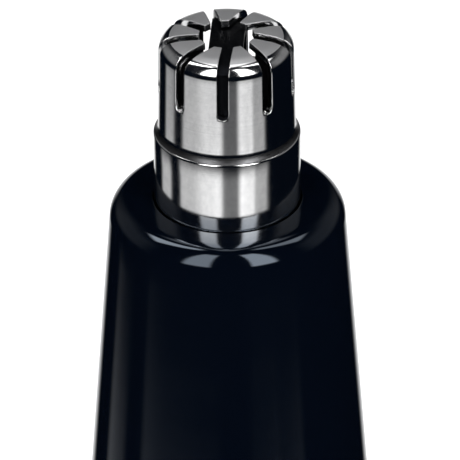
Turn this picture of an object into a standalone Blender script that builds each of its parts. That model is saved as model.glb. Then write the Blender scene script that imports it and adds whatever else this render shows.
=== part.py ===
"""Battery nose hair trimmer: slotted steel cutter head on a glossy black conical body.

Units are metres, +Z is up, the origin is the middle of the flat base, and the slide
switch faces -Y. The pieces are listed from the cutter head down to the battery cap.
"""
import math

import bmesh
import bpy
from mathutils import Matrix, Vector

MM = 0.001
TAU = 2.0 * math.pi

# ---------------------------------------------------------------- driving dimensions
# Heights along the trimmer, measured from the flat base.
CAP_TOP_Z = 10.0 * MM           # parting line between battery cap and housing
CELL_BOTTOM_Z = 7.0 * MM        # negative end of the battery
SHOULDER_Z = 121.0 * MM         # flat shoulder that the steel head stands on
HEAD_HEIGHT = 12.2 * MM         # from the shoulder to the top of the steel head

# Clearances.
FIT_GAP = 0.10 * MM             # between pieces that are fixed to each other
RUN_GAP = 0.05 * MM             # radial, shaft in bearing
PARTING_GAP = 0.15 * MM         # visible joint line between two covers
SLIP_GAP = 0.15 * MM            # radial, between pieces that slide apart by hand
REST_GAP = 0.10 * MM            # under a piece that rests on another

# Steel cutter guard.
GUARD_TUBE_R = 4.45 * MM
GUARD_TUBE_FOOT_R = GUARD_TUBE_R + 0.10 * MM
GUARD_RING_R = GUARD_TUBE_R + 0.40 * MM
GUARD_WALL = 0.50 * MM
GUARD_RING_HEIGHT = 4.90 * MM   # from the shoulder to the step
GUARD_STEP_HEIGHT = 0.80 * MM
GUARD_EDGE_R = 0.90 * MM        # polished edge between dome and tube
GUARD_EDGE_START = 22.0         # degrees of tilt, where the crown turns into that edge
GUARD_CROWN_R = 3.0 * MM        # gentler rounding inside the polished edge
GUARD_CROWN = 0.04 * MM         # rise of the flat top from the crown to the hole
GUARD_HOLE_R = 1.80 * MM
GUARD_INSET = 1.60 * MM         # how far the ring reaches below the shoulder
SLOT_COUNT = 9
SLOT_WIDTH = 0.74 * MM
SLOT_DEPTH = 4.00 * MM          # from the top down to the round end of a slot
SLOT_FIRST_ANGLE = math.radians(-93.5)  # of a slot's middle where it meets the tube
SLOT_OFFSET = 0.30 * MM         # the slots pass beside the axis, so they swirl a little

# Plastic base of the head, the blade and its hub.
HEAD_PLUG_LENGTH = 5.0 * MM     # part of the head inside the housing
HEAD_BASE_SPIGOT = 3.4 * MM     # part of the base inside the steel ring
HEAD_BASE_CHAMFER = 0.4 * MM
HEAD_RING_DEPTH = 3.1 * MM      # from the shoulder to the middle of the head's O-ring
BLADE_WIDTH = 2.25 * MM
BLADE_THICKNESS = 0.45 * MM
BLADE_GAP = 0.10 * MM           # between blade and guard
BLADE_REACH = GUARD_TUBE_R - GUARD_WALL - BLADE_GAP
BLADE_ANGLE = math.radians(-3.5)
BLADE_TONGUE = 1.8 * MM         # how far the blade legs reach below the hub's top
HUB_FLANGE_R = BLADE_REACH - 0.10 * MM
HUB_FLANGE_HEIGHT = 1.6 * MM
HUB_BOSS_R = BLADE_REACH - 0.80 * MM
HUB_BOSS_HEIGHT = 1.2 * MM
HUB_STEM_R = 2.6 * MM
HUB_SPRING_BORE_R = 1.9 * MM
HUB_SPRING_BORE_DROP = 1.6 * MM # from the flange down to the top of the spring's bore
SPRING_WIRE_R = 0.17 * MM
SPRING_COIL_R = 1.45 * MM
SPRING_TURNS = 6

# Drive line.
SPINDLE_R = 1.0 * MM
SPINDLE_FLATS = 1.4 * MM        # across the two drive flats
SPINDLE_COLLAR_R = 1.8 * MM
SPINDLE_COLLAR_HEIGHT = 0.6 * MM
SPINDLE_IN_COUPLER = 2.2 * MM
SEAL_R = 3.1 * MM
SEAL_HEIGHT = 1.8 * MM
BUSH_R = 2.5 * MM
BUSH_LENGTH = 5.0 * MM
BUSH_BOSS_WALL = 1.0 * MM
BULKHEAD_THICKNESS = 4.0 * MM
COUPLER_R = 2.6 * MM
COUPLER_LENGTH = 7.7 * MM
SHAFT_R = 0.75 * MM

# Housing.
SHOULDER_FLAT_R = 6.25 * MM
SHOULDER_EDGE_R = 1.60 * MM
CONE_END_Z = 78.0 * MM          # below this the cone swells into the grip
CONE_END_R = 11.036 * MM
GRIP_R = 12.0 * MM
GRIP_Z = 54.0 * MM              # the fullest part of the grip
FOOT_SLOPE = 0.03               # taper of the housing where it meets the cap
WALL = 1.6 * MM

# Motor, a flat-sided can of the size used with one cell.
MOTOR_R = 7.75 * MM
MOTOR_HALF_FLAT = 6.0 * MM
MOTOR_WALL = 0.8 * MM
MOTOR_CAN_LENGTH = 19.0 * MM
MOTOR_CAP_LENGTH = 2.0 * MM
MOTOR_BOSS_R = 3.0 * MM
MOTOR_BOSS_HEIGHT = 1.5 * MM
MAGNET_THICKNESS = 1.6 * MM
AIR_GAP = 0.3 * MM
CORE_LENGTH = 8.5 * MM
POLES = 3
COMMUTATOR_R = 1.6 * MM
BEARING_R = 1.5 * MM
SHAFT_HOLE_R = 1.05 * MM
BOSS_LIP = 0.4 * MM
POLE_NECK_HALF = 0.7 * MM
POLE_HUB_R = 1.75 * MM
POLE_SHOE = 1.0 * MM            # thickness of a pole's shoe
POLE_SHOE_HALF = math.radians(50.0)
MAGNET_HALF = math.radians(40.0)
MAGNET_OVERHANG = 1.0 * MM      # past each end of the core
WINDING_INNER_R = 2.0 * MM
WINDING_OUTER_R = 3.0 * MM
WINDING_HALF = 1.9 * MM
WINDING_OVERHANG = 0.9 * MM
TERMINAL_X = 4.2 * MM
TERMINAL_WIDTH = 1.5 * MM
BRUSH_HALF = 0.6 * MM
BRUSH_OUTER_X = 2.9 * MM
MOTOR_SCREW_X = 5.0 * MM
MOTOR_SCREW_R = 0.65 * MM
MOTOR_SCREW_HEAD_R = 1.3 * MM
MOTOR_SCREW_HEAD = 0.7 * MM
SCREW_HOLE_R = 0.8 * MM

# Battery and its contacts.
CELL_R = 7.25 * MM
CELL_LENGTH = 50.5 * MM         # with its positive nub
CELL_NUB_R = 2.75 * MM
CELL_NUB_HEIGHT = 1.0 * MM
SHEET = 0.3 * MM                # contact sheet thickness
CONTACT_WIDTH = 2.4 * MM
POSITIVE_X = 4.55 * MM          # upright part of the positive contact
BATTERY_WIRE_R = 0.30 * MM
BATTERY_SPRING_TURNS = 4
BATTERY_SPRING_R = 5.6 * MM     # of its lowest turn
BATTERY_SPRING_TOP_R = 3.0 * MM

# Inner chassis.
CELL_SIDE_GAP = 0.35 * MM       # radial, between the battery and its tube
CHASSIS_WALL = 1.6 * MM
CRADLE_WALL = 0.85 * MM         # round the motor
CRADLE_STEP = 0.6 * MM
CHASSIS_R = max(CELL_R + CELL_SIDE_GAP + CHASSIS_WALL, MOTOR_R + CRADLE_WALL + CRADLE_STEP)
CRADLE_R = CHASSIS_R - CRADLE_STEP
BORE_R = CHASSIS_R + 0.2 * MM   # of the housing that the chassis slides into
FOOT_R = BORE_R + 1.8 * MM      # outside the mouth that the cap screws into
CHASSIS_BULKHEAD = 1.2 * MM
CHASSIS_PLATE = 1.1 * MM        # that the motor is screwed to
CHANNEL_HALF = 1.6 * MM
CHANNEL_DEPTH = 0.75 * MM

# Slide switch.
SWITCH_Z = 67.0 * MM            # middle of the button at rest, which is off
SWITCH_TRAVEL = 4.0 * MM
BUTTON_WIDTH = 8.0 * MM
BUTTON_HEIGHT = 11.0 * MM
BUTTON_THICKNESS = 1.7 * MM
BUTTON_EDGE_R = 0.7 * MM
BUTTON_RIBS = 5
BUTTON_MARGIN = 1.2 * MM        # from an end of the button to its first groove
BUTTON_GROOVE_HALF = 0.3 * MM
BUTTON_GROOVE_DEPTH = 0.35 * MM
STEM_WIDTH = 2.6 * MM
STEM_HEIGHT = 5.0 * MM
RECESS_FLOOR = 1.2 * MM         # from the bore to the flat recess that the button slides in
RECESS_Y = -(BORE_R + RECESS_FLOOR)
RECESS_CORNER_R = 1.4 * MM
CARRIER_HALF_WIDTH = 2.6 * MM
CARRIER_HALF_HEIGHT = 4.0 * MM
CONTACT_Y = -6.95 * MM          # front face of the two fixed contacts
CONTACT_LOW_TOP = 1.0 * MM      # top of the lower fixed contact, above the button's middle
CONTACT_HIGH_BOTTOM = 1.9 * MM  # foot of the upper one, so the two stand apart
BRIDGE_LENGTH = 4.6 * MM

# Battery cap with its three-start thread.
CAP_R = FOOT_R
CAP_EDGE_R = 1.6 * MM
CAP_FLOOR = 2.0 * MM
SPIGOT_LENGTH = 7.0 * MM
SPIGOT_WALL = 1.2 * MM
THREAD_STARTS = 3
THREAD_LEAD = 12.0 * MM
THREAD_HEIGHT = 0.75 * MM       # how far a lug stands out of the spigot
LUG_HALF_WIDTH = 0.75 * MM      # along the axis
LUG_ARC = math.radians(36.0)
LUG_Z = 15.3 * MM
THREAD_GAP = 0.20 * MM
RING_SECTION_R = 0.5 * MM       # of both O-rings
FLUTE_COUNT = 12
FLUTE_R = 1.0 * MM
FLUTE_DEPTH = 0.35 * MM

# Segments around turned pieces.
FINE = 48
MEDIUM = 32
COARSE = 20

# ---------------------------------------------------------------- derived places
HEAD_TOP_Z = SHOULDER_Z + HEAD_HEIGHT
STEP_Z = SHOULDER_Z + GUARD_RING_HEIGHT
GUARD_TILT = math.radians(GUARD_EDGE_START)
GUARD_CENTRES_APART = GUARD_CROWN_R - GUARD_EDGE_R
GUARD_EDGE_CENTRE_R = GUARD_TUBE_R - GUARD_EDGE_R
GUARD_CROWN_CENTRE_R = GUARD_EDGE_CENTRE_R - GUARD_CENTRES_APART * math.sin(GUARD_TILT)
GUARD_CROWN_Z = HEAD_TOP_Z - GUARD_CROWN
GUARD_EDGE_Z = GUARD_CROWN_Z - GUARD_CROWN_R + GUARD_CENTRES_APART * math.cos(GUARD_TILT)
GUARD_RING_INNER_R = GUARD_RING_R - GUARD_WALL
HEAD_BASE_BORE_R = BLADE_REACH + FIT_GAP
HEAD_RING_Z = SHOULDER_Z - HEAD_RING_DEPTH
EDGE_END_Z = SHOULDER_Z - SHOULDER_EDGE_R
CONE_TOP_R = SHOULDER_FLAT_R + SHOULDER_EDGE_R
CONE_HALF_ANGLE = math.atan((CONE_END_R - CONE_TOP_R) / (EDGE_END_Z - CONE_END_Z))
SOCKET_R = GUARD_RING_R + FIT_GAP
SOCKET_FLOOR_Z = SHOULDER_Z - HEAD_PLUG_LENGTH - REST_GAP
BULKHEAD_BOTTOM_Z = SOCKET_FLOOR_Z - BULKHEAD_THICKNESS
SEAL_BOTTOM_Z = SOCKET_FLOOR_Z - SEAL_HEIGHT - FIT_GAP
BUSH_TOP_Z = SEAL_BOTTOM_Z - 0.4 * MM
BUSH_BOTTOM_Z = BUSH_TOP_Z - BUSH_LENGTH
COLLAR_Z = SOCKET_FLOOR_Z + 0.25 * MM
COLLAR_TOP_Z = COLLAR_Z + SPINDLE_COLLAR_HEIGHT
SPRING_BOTTOM_Z = COLLAR_TOP_Z + RUN_GAP + SPRING_WIRE_R
HUB_BOTTOM_Z = COLLAR_TOP_Z + 0.3 * MM
HUB_FLANGE_Z = SHOULDER_Z + 2.4 * MM
HUB_FLANGE_TOP_Z = HUB_FLANGE_Z + HUB_FLANGE_HEIGHT
HUB_TOP_Z = HUB_FLANGE_TOP_Z + HUB_BOSS_HEIGHT
HUB_BORE_TOP_Z = HUB_FLANGE_Z - HUB_SPRING_BORE_DROP
SPINDLE_TOP_Z = HUB_FLANGE_TOP_Z - 0.4 * MM
CELL_TOP_Z = CELL_BOTTOM_Z + CELL_LENGTH
CONTACT_PLATE_Z = CELL_TOP_Z + REST_GAP
BULKHEAD_Z = CONTACT_PLATE_Z + SHEET + 0.3 * MM
BULKHEAD_TOP_Z = BULKHEAD_Z + CHASSIS_BULKHEAD
MOTOR_CAP_Z = BULKHEAD_TOP_Z + 1.8 * MM
CAN_Z = MOTOR_CAP_Z + MOTOR_CAP_LENGTH
CAN_TOP_Z = CAN_Z + MOTOR_CAN_LENGTH
BOSS_TOP_Z = CAN_TOP_Z + MOTOR_BOSS_HEIGHT
PLATE_Z = CAN_TOP_Z + FIT_GAP
PLATE_TOP_Z = PLATE_Z + CHASSIS_PLATE
COUPLER_Z = BOSS_TOP_Z + 0.8 * MM
COUPLER_TOP_Z = COUPLER_Z + COUPLER_LENGTH
SPINDLE_LENGTH = SPINDLE_TOP_Z - COUPLER_TOP_Z + SPINDLE_IN_COUPLER
SPINDLE_BOTTOM_Z = SPINDLE_TOP_Z - SPINDLE_LENGTH
SHAFT_BOTTOM_Z = MOTOR_CAP_Z + FIT_GAP
SHAFT_TOP_Z = COUPLER_Z + 0.45 * COUPLER_LENGTH
CORE_Z = CAN_Z + 5.0 * MM
CORE_TOP_Z = CORE_Z + CORE_LENGTH
CHASSIS_BOTTOM_Z = CAP_TOP_Z + SPIGOT_LENGTH + 1.0 * MM
CHASSIS_STEP_Z = BULKHEAD_TOP_Z + 0.5 * MM
MOTOR_INNER_R = MOTOR_R - MOTOR_WALL
MOTOR_INNER_FLAT = MOTOR_HALF_FLAT - MOTOR_WALL
MAGNET_OUTER_R = MOTOR_INNER_R - FIT_GAP
MAGNET_INNER_R = MAGNET_OUTER_R - MAGNET_THICKNESS
ARMATURE_R = MAGNET_INNER_R - AIR_GAP
SPIGOT_R = BORE_R - SLIP_GAP
SPIGOT_TOP_Z = CAP_TOP_Z + SPIGOT_LENGTH
SPIGOT_BORE_R = SPIGOT_R - SPIGOT_WALL
SIDES = ((-1, "left"), (1, "right"))

# ---------------------------------------------------------------- scene and helpers
for existing in list(bpy.data.objects):
    bpy.data.objects.remove(existing, do_unlink=True)

PARTS = bpy.data.collections.new("nose_hair_trimmer")
CUTTERS = bpy.data.collections.new("cutters")
bpy.context.scene.collection.children.link(PARTS)
bpy.context.scene.collection.children.link(CUTTERS)
MATERIALS = {}


def material(name, colour, roughness, metallic=0.0):
    """One Principled material, made once for each name."""
    if name not in MATERIALS:
        made = bpy.data.materials.new(name)
        made.use_nodes = True
        shader = made.node_tree.nodes["Principled BSDF"]
        shader.inputs["Base Color"].default_value = (*colour, 1.0)
        shader.inputs["Roughness"].default_value = roughness
        shader.inputs["Metallic"].default_value = metallic
        MATERIALS[name] = made
    return MATERIALS[name]


def finish_for(name, finish):
    """The piece's own material, of one of the finishes that the trimmer is made of."""
    finishes = {
        "steel": ((0.62, 0.62, 0.63), 0.16, 1.0),
        "dark_steel": ((0.30, 0.30, 0.31), 0.35, 1.0),
        "gloss_black": ((0.010, 0.010, 0.018), 0.08, 0.0),
        "matt_black": ((0.03, 0.03, 0.03), 0.55, 0.0),
        "grey_plastic": ((0.16, 0.16, 0.17), 0.5, 0.0),
        "white_plastic": ((0.75, 0.74, 0.70), 0.45, 0.0),
        "rubber": ((0.02, 0.02, 0.02), 0.8, 0.0),
        "bronze": ((0.55, 0.36, 0.16), 0.4, 1.0),
        "brass": ((0.72, 0.55, 0.24), 0.3, 1.0),
        "copper": ((0.65, 0.28, 0.12), 0.35, 1.0),
        "carbon": ((0.04, 0.04, 0.04), 0.6, 0.0),
        "magnet": ((0.10, 0.10, 0.10), 0.6, 0.3),
        "cell": ((0.10, 0.16, 0.30), 0.35, 0.0),
    }
    colour, roughness, metallic = finishes[finish]
    return material(name + "_" + finish, colour, roughness, metallic)


def link(name, mesh, finish=None):
    """A new object in the trimmer's collection, or a cutter where it has no finish."""
    thing = bpy.data.objects.new(name, mesh)
    if finish is None:
        CUTTERS.objects.link(thing)
        thing.hide_render = True
        thing.display_type = "WIRE"
    else:
        PARTS.objects.link(thing)
        mesh.materials.append(finish_for(name, finish))
    return thing


def arc(centre_r, centre_z, radius, start_deg, end_deg, steps):
    """Points of an arc in the turned profile's plane, both ends included."""
    points = []
    for index in range(steps + 1):
        angle = math.radians(start_deg + (end_deg - start_deg) * index / steps)
        points.append((centre_r + radius * math.cos(angle), centre_z + radius * math.sin(angle)))
    return points


def turned(name, profile, finish=None, steps=MEDIUM, closed=True):
    """A turned piece. The profile runs down its outer side, and up its inner side."""
    mesh = bpy.data.meshes.new(name)
    model = bmesh.new()
    corners = [model.verts.new((radius, 0.0, z)) for radius, z in profile]
    for first, second in zip(corners, corners[1:]):
        model.edges.new((first, second))
    if closed:
        model.edges.new((corners[-1], corners[0]))
    model.to_mesh(mesh)
    model.free()
    thing = link(name, mesh, finish)
    screw = thing.modifiers.new("turn", "SCREW")
    screw.steps = steps
    screw.render_steps = steps
    screw.use_merge_vertices = True
    screw.merge_threshold = 1e-6
    screw.use_smooth_shade = True
    return thing


def tube(name, outer_r, inner_r, bottom_z, top_z, finish=None, steps=MEDIUM):
    """A plain turned ring or sleeve."""
    outline = [(outer_r, top_z), (outer_r, bottom_z), (inner_r, bottom_z), (inner_r, top_z)]
    return turned(name, outline, finish, steps)


def rod(name, radius, bottom_z, top_z, finish=None, steps=MEDIUM):
    """A plain turned solid."""
    outline = [(0.0, top_z), (radius, top_z), (radius, bottom_z), (0.0, bottom_z)]
    return turned(name, outline, finish, steps, closed=False)


def block(name, low, high, finish=None):
    """A box between two corners."""
    mesh = bpy.data.meshes.new(name)
    model = bmesh.new()
    size = [high[axis] - low[axis] for axis in range(3)]
    middle = [(high[axis] + low[axis]) / 2.0 for axis in range(3)]
    bmesh.ops.create_cube(model, size=1.0)
    bmesh.ops.scale(model, vec=size, verts=model.verts)
    model.to_mesh(mesh)
    model.free()
    thing = link(name, mesh, finish)
    thing.location = middle
    return thing


def solid_of(curve_object, name, finish=None):
    """Turns a finished curve object into a closed mesh object in the same place."""
    bpy.context.view_layer.update()
    seen = bpy.context.evaluated_depsgraph_get()
    mesh = bpy.data.meshes.new_from_object(curve_object.evaluated_get(seen))
    mesh.name = name
    mesh.materials.clear()
    model = bmesh.new()
    model.from_mesh(mesh)
    bmesh.ops.remove_doubles(model, verts=model.verts, dist=1e-7)
    bmesh.ops.recalc_face_normals(model, faces=model.faces)
    model.to_mesh(mesh)
    model.free()
    place = curve_object.matrix_world.copy()
    bpy.data.objects.remove(curve_object, do_unlink=True)
    thing = link(name, mesh, finish)
    thing.matrix_world = place
    return thing


def prism(name, outline, bottom, top, finish=None, holes=(), place=None):
    """A flat outline, with its holes, extruded from bottom to top along its own Z."""
    flat = bpy.data.curves.new(name + "_outline", "CURVE")
    flat.dimensions = "2D"
    flat.fill_mode = "BOTH"
    flat.extrude = (top - bottom) / 2.0
    for loop in (outline, *holes):
        spline = flat.splines.new("POLY")
        spline.points.add(len(loop) - 1)
        for point, (x, y) in zip(spline.points, loop):
            point.co = (x, y, 0.0, 1.0)
        spline.use_cyclic_u = True
    shape = bpy.data.objects.new(name + "_outline", flat)
    CUTTERS.objects.link(shape)
    lift = Matrix.Translation((0.0, 0.0, (top + bottom) / 2.0))
    shape.matrix_world = (place or Matrix()) @ lift
    return solid_of(shape, name, finish)


def circle(radius, steps):
    """Points of a circle."""
    return [(radius * math.cos(TAU * index / steps), radius * math.sin(TAU * index / steps))
            for index in range(steps)]


def flatted_circle(radius, half_flat, steps):
    """A circle with two flats that face -Y and +Y."""
    reach = math.asin(half_flat / radius)
    points = []
    for side in (0.0, math.pi):
        for index in range(steps + 1):
            angle = side - reach + 2.0 * reach * index / steps
            points.append((radius * math.cos(angle), radius * math.sin(angle)))
    return points


def ring_sector(inner_r, outer_r, half_angle, steps):
    """A stretch of a ring, centred on +X."""
    points = []
    for index in range(steps + 1):
        angle = -half_angle + 2.0 * half_angle * index / steps
        points.append((outer_r * math.cos(angle), outer_r * math.sin(angle)))
    for index in range(steps + 1):
        angle = half_angle - 2.0 * half_angle * index / steps
        points.append((inner_r * math.cos(angle), inner_r * math.sin(angle)))
    return points


def wire(name, points, radius, finish, resolution=2):
    """A round wire through the given points, with closed ends."""
    path = bpy.data.curves.new(name, "CURVE")
    path.dimensions = "3D"
    path.bevel_depth = radius
    path.bevel_resolution = resolution
    path.use_fill_caps = True
    spline = path.splines.new("POLY")
    spline.points.add(len(points) - 1)
    for point, place in zip(spline.points, points):
        point.co = (*place, 1.0)
    shape = bpy.data.objects.new(name + "_path", path)
    CUTTERS.objects.link(shape)
    return solid_of(shape, name, finish)


def sheet_strip(name, route, width, thickness, finish):
    """A strip of sheet metal bent along a route in the YZ plane, as wide as width in X."""
    mesh = bpy.data.meshes.new(name)
    model = bmesh.new()
    left = [model.verts.new((-width / 2.0, y, z)) for y, z in route]
    right = [model.verts.new((width / 2.0, y, z)) for y, z in route]
    for index in range(len(route) - 1):
        model.faces.new((left[index], left[index + 1], right[index + 1], right[index]))
    model.to_mesh(mesh)
    model.free()
    thing = link(name, mesh, finish)
    thicken = thing.modifiers.new("thickness", "SOLIDIFY")
    thicken.thickness = thickness
    thicken.offset = 0.0
    thicken.use_even_offset = True
    return thing


def helix_bar(name, low_r, high_r, half_width, start, end, middle_z, steps, finish=None):
    """A bar of rectangular section that follows the cap's thread around the axis.

    start and end are angles in radians. The bar's middle is at middle_z at angle zero.
    """
    mesh = bpy.data.meshes.new(name)
    model = bmesh.new()
    rings = []
    for index in range(steps + 1):
        angle = start + (end - start) * index / steps
        z = middle_z + THREAD_LEAD * angle / TAU
        corners = []
        for radius, rise in ((low_r, -1), (high_r, -1), (high_r, 1), (low_r, 1)):
            x = radius * math.cos(angle)
            y = radius * math.sin(angle)
            corners.append(model.verts.new((x, y, z + rise * half_width)))
        rings.append(corners)
    for first, second in zip(rings, rings[1:]):
        for side in range(4):
            after = (side + 1) % 4
            model.faces.new((first[side], first[after], second[after], second[side]))
    model.faces.new(rings[0])
    model.faces.new(rings[-1])
    bmesh.ops.recalc_face_normals(model, faces=model.faces)
    model.to_mesh(mesh)
    model.free()
    return link(name, mesh, finish)


def combine(thing, tool, operation):
    """One Boolean, kept as a modifier."""
    step = thing.modifiers.new(operation.lower() + "_" + tool.name, "BOOLEAN")
    step.operation = operation
    step.solver = "EXACT"
    step.object = tool


def cut(thing, *tools):
    """Removes each tool's shape from a piece."""
    for tool in tools:
        combine(thing, tool, "DIFFERENCE")


def fuse(thing, *tools):
    """Adds each tool's shape to a piece."""
    for tool in tools:
        combine(thing, tool, "UNION")


def turn_about_z(thing, angle):
    """Turns a piece about the trimmer's axis."""
    bpy.context.view_layer.update()
    thing.matrix_world = Matrix.Rotation(angle, 4, "Z") @ thing.matrix_world


# ---------------------------------------------------------------- body outline
def blend(start, end, start_slope, end_slope, share):
    """Radius on a smooth curve between two (z, radius) points with given slopes."""
    span = end[0] - start[0]
    a = 2 * share ** 3 - 3 * share ** 2 + 1
    b = share ** 3 - 2 * share ** 2 + share
    c = -2 * share ** 3 + 3 * share ** 2
    d = share ** 3 - share ** 2
    return a * start[1] + b * span * start_slope + c * end[1] + d * span * end_slope


def cone_radius(z):
    """Radius of the straight cone below the shoulder."""
    return CONE_TOP_R + (EDGE_END_Z - z) * math.tan(CONE_HALF_ANGLE)


def body_radius(z):
    """Outer radius of the housing below its rounded shoulder."""
    if z >= CONE_END_Z:
        return cone_radius(z)
    if z >= GRIP_Z:
        start = (CONE_END_Z, cone_radius(CONE_END_Z))
        share = (CONE_END_Z - z) / (CONE_END_Z - GRIP_Z)
        return blend(start, (GRIP_Z, GRIP_R), -math.tan(CONE_HALF_ANGLE), 0.0, share)
    share = (GRIP_Z - z) / (GRIP_Z - CAP_TOP_Z)
    return blend((GRIP_Z, GRIP_R), (CAP_TOP_Z, FOOT_R), 0.0, FOOT_SLOPE, share)


# ---------------------------------------------------------------- cutter head
def make_cutter_guard():
    """The steel guard: slotted dome, tube, step and ring, turned from one piece."""
    edge_angle = 90.0 - GUARD_EDGE_START
    outer = [(GUARD_HOLE_R, HEAD_TOP_Z)]
    outer += arc(GUARD_CROWN_CENTRE_R, GUARD_CROWN_Z - GUARD_CROWN_R, GUARD_CROWN_R, 90, edge_angle, 2)
    outer += arc(GUARD_EDGE_CENTRE_R, GUARD_EDGE_Z, GUARD_EDGE_R, edge_angle, 0, 4)[1:]
    outer += [(GUARD_TUBE_FOOT_R, STEP_Z + GUARD_STEP_HEIGHT)]
    outer += [(GUARD_TUBE_FOOT_R + 0.12 * MM, STEP_Z + 0.28 * MM)]
    outer += arc(GUARD_RING_R - 0.14 * MM, STEP_Z, 0.14 * MM, 75, 0, 2)
    outer += [(GUARD_RING_R, SHOULDER_Z - GUARD_INSET)]
    inner = [(GUARD_RING_INNER_R, SHOULDER_Z - GUARD_INSET), (GUARD_RING_INNER_R, STEP_Z - 0.4 * MM)]
    inner += [(GUARD_TUBE_FOOT_R - GUARD_WALL, STEP_Z + 0.3 * MM)]
    inner += arc(GUARD_EDGE_CENTRE_R, GUARD_EDGE_Z, GUARD_EDGE_R - GUARD_WALL, 0, edge_angle, 3)
    inner += [(GUARD_CROWN_CENTRE_R, GUARD_CROWN_Z - GUARD_WALL), (GUARD_HOLE_R, HEAD_TOP_Z - GUARD_WALL)]
    guard = turned("cutter_guard", outer + inner, "steel", 6 * SLOT_COUNT)
    half = SLOT_WIDTH / 2.0
    slot_end_z = HEAD_TOP_Z - SLOT_DEPTH + half
    outline = [(SLOT_OFFSET + half, HEAD_TOP_Z + MM), (SLOT_OFFSET - half, HEAD_TOP_Z + MM)]
    outline += arc(SLOT_OFFSET, slot_end_z, half, 180, 360, 4)
    upright = Matrix.Rotation(math.radians(90.0), 4, "X")
    reach = GUARD_RING_R + MM
    first_turn = SLOT_FIRST_ANGLE - math.asin(SLOT_OFFSET / GUARD_TUBE_R) + math.radians(90.0)
    for index in range(SLOT_COUNT):
        slot = prism("slot_cutter_%d" % (index + 1), outline, 0.4 * MM, reach, place=upright)
        turn_about_z(slot, first_turn + TAU * index / SLOT_COUNT)
        cut(guard, slot)
    return guard


def make_head_base():
    """Plastic base pressed into the steel ring: it plugs into the housing's socket."""
    plug_bottom = SHOULDER_Z - HEAD_PLUG_LENGTH
    plug_top = SHOULDER_Z - GUARD_INSET - FIT_GAP
    spigot_r = GUARD_RING_INNER_R - RUN_GAP
    outline = [(spigot_r, plug_top + HEAD_BASE_SPIGOT), (spigot_r, plug_top)]
    outline += [(GUARD_RING_R, plug_top), (GUARD_RING_R, plug_bottom + HEAD_BASE_CHAMFER)]
    outline += [(GUARD_RING_R - HEAD_BASE_CHAMFER, plug_bottom), (HEAD_BASE_BORE_R, plug_bottom)]
    outline += [(HEAD_BASE_BORE_R, plug_top + HEAD_BASE_SPIGOT)]
    return turned("head_base", outline, "matt_black", FINE)


def make_inner_blade():
    """The rotary blade: a strip bent to an inverted U that follows the guard's inside."""
    top = HEAD_TOP_Z - GUARD_WALL - BLADE_GAP
    legs = HUB_FLANGE_TOP_Z - BLADE_TONGUE
    inner_face = BLADE_REACH - BLADE_THICKNESS
    bend_r = GUARD_EDGE_R - GUARD_WALL - BLADE_GAP
    outline = [(0.0, top), (GUARD_CROWN_CENTRE_R, top - GUARD_CROWN)]
    outline += arc(GUARD_EDGE_CENTRE_R, GUARD_EDGE_Z, bend_r, 90.0 - GUARD_EDGE_START, 0, 3)
    outline += [(BLADE_REACH, legs), (inner_face, legs), (inner_face, GUARD_EDGE_Z - 0.2 * MM)]
    outline += [(GUARD_CROWN_CENTRE_R, top - BLADE_THICKNESS - 0.1 * MM), (0.0, top - BLADE_THICKNESS)]
    blade = turned("inner_blade", outline, "dark_steel", FINE, closed=False)
    half = BLADE_WIDTH / 2.0
    keep = block("blade_strip", (-half, -GUARD_RING_R, legs - MM), (half, GUARD_RING_R, top + MM))
    combine(blade, keep, "INTERSECT")
    turn_about_z(blade, BLADE_ANGLE)
    turn_about_z(keep, BLADE_ANGLE)
    return blade


def make_blade_hub():
    """Plastic hub that carries the blade and is driven by the spindle's flats."""
    socket_top = SPINDLE_TOP_Z + 0.15 * MM
    outline = [(0.0, HUB_TOP_Z), (HUB_BOSS_R - 0.4 * MM, HUB_TOP_Z), (HUB_BOSS_R, HUB_TOP_Z - 0.4 * MM)]
    outline += [(HUB_BOSS_R, HUB_FLANGE_TOP_Z), (HUB_FLANGE_R, HUB_FLANGE_TOP_Z)]
    outline += [(HUB_FLANGE_R, HUB_FLANGE_Z), (HUB_STEM_R, HUB_FLANGE_Z), (HUB_STEM_R, HUB_BOTTOM_Z)]
    outline += [(HUB_SPRING_BORE_R, HUB_BOTTOM_Z), (HUB_SPRING_BORE_R, HUB_BORE_TOP_Z)]
    outline += [(0.0, HUB_BORE_TOP_Z)]
    hub = turned("blade_hub", outline, "white_plastic", MEDIUM, closed=False)
    flats = flatted_circle(SPINDLE_R + FIT_GAP, SPINDLE_FLATS / 2.0 + FIT_GAP, 5)
    cut(hub, prism("hub_socket", flats, HUB_BORE_TOP_Z - 0.5 * MM, socket_top))
    half = BLADE_WIDTH / 2.0 + FIT_GAP
    inner_face = BLADE_REACH - BLADE_THICKNESS
    for side, word in SIDES:
        inside = side * (math.sqrt(inner_face ** 2 - half ** 2) - 0.1 * MM)
        outside = side * GUARD_RING_R
        notch = block("hub_notch_" + word, (-half, min(inside, outside), HUB_FLANGE_Z - MM),
                      (half, max(inside, outside), HUB_TOP_Z + MM))
        turn_about_z(notch, BLADE_ANGLE)
        cut(hub, notch)
    return hub


def make_blade_spring():
    """Coil spring that presses the blade up against the guard."""
    top = HUB_BORE_TOP_Z - SPRING_WIRE_R - RUN_GAP
    steps = 12 * SPRING_TURNS
    points = []
    for index in range(steps + 1):
        angle = TAU * SPRING_TURNS * index / steps
        z = SPRING_BOTTOM_Z + (top - SPRING_BOTTOM_Z) * index / steps
        points.append((SPRING_COIL_R * math.cos(angle), SPRING_COIL_R * math.sin(angle), z))
    return wire("blade_spring", points, SPRING_WIRE_R, "steel", resolution=0)


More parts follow.
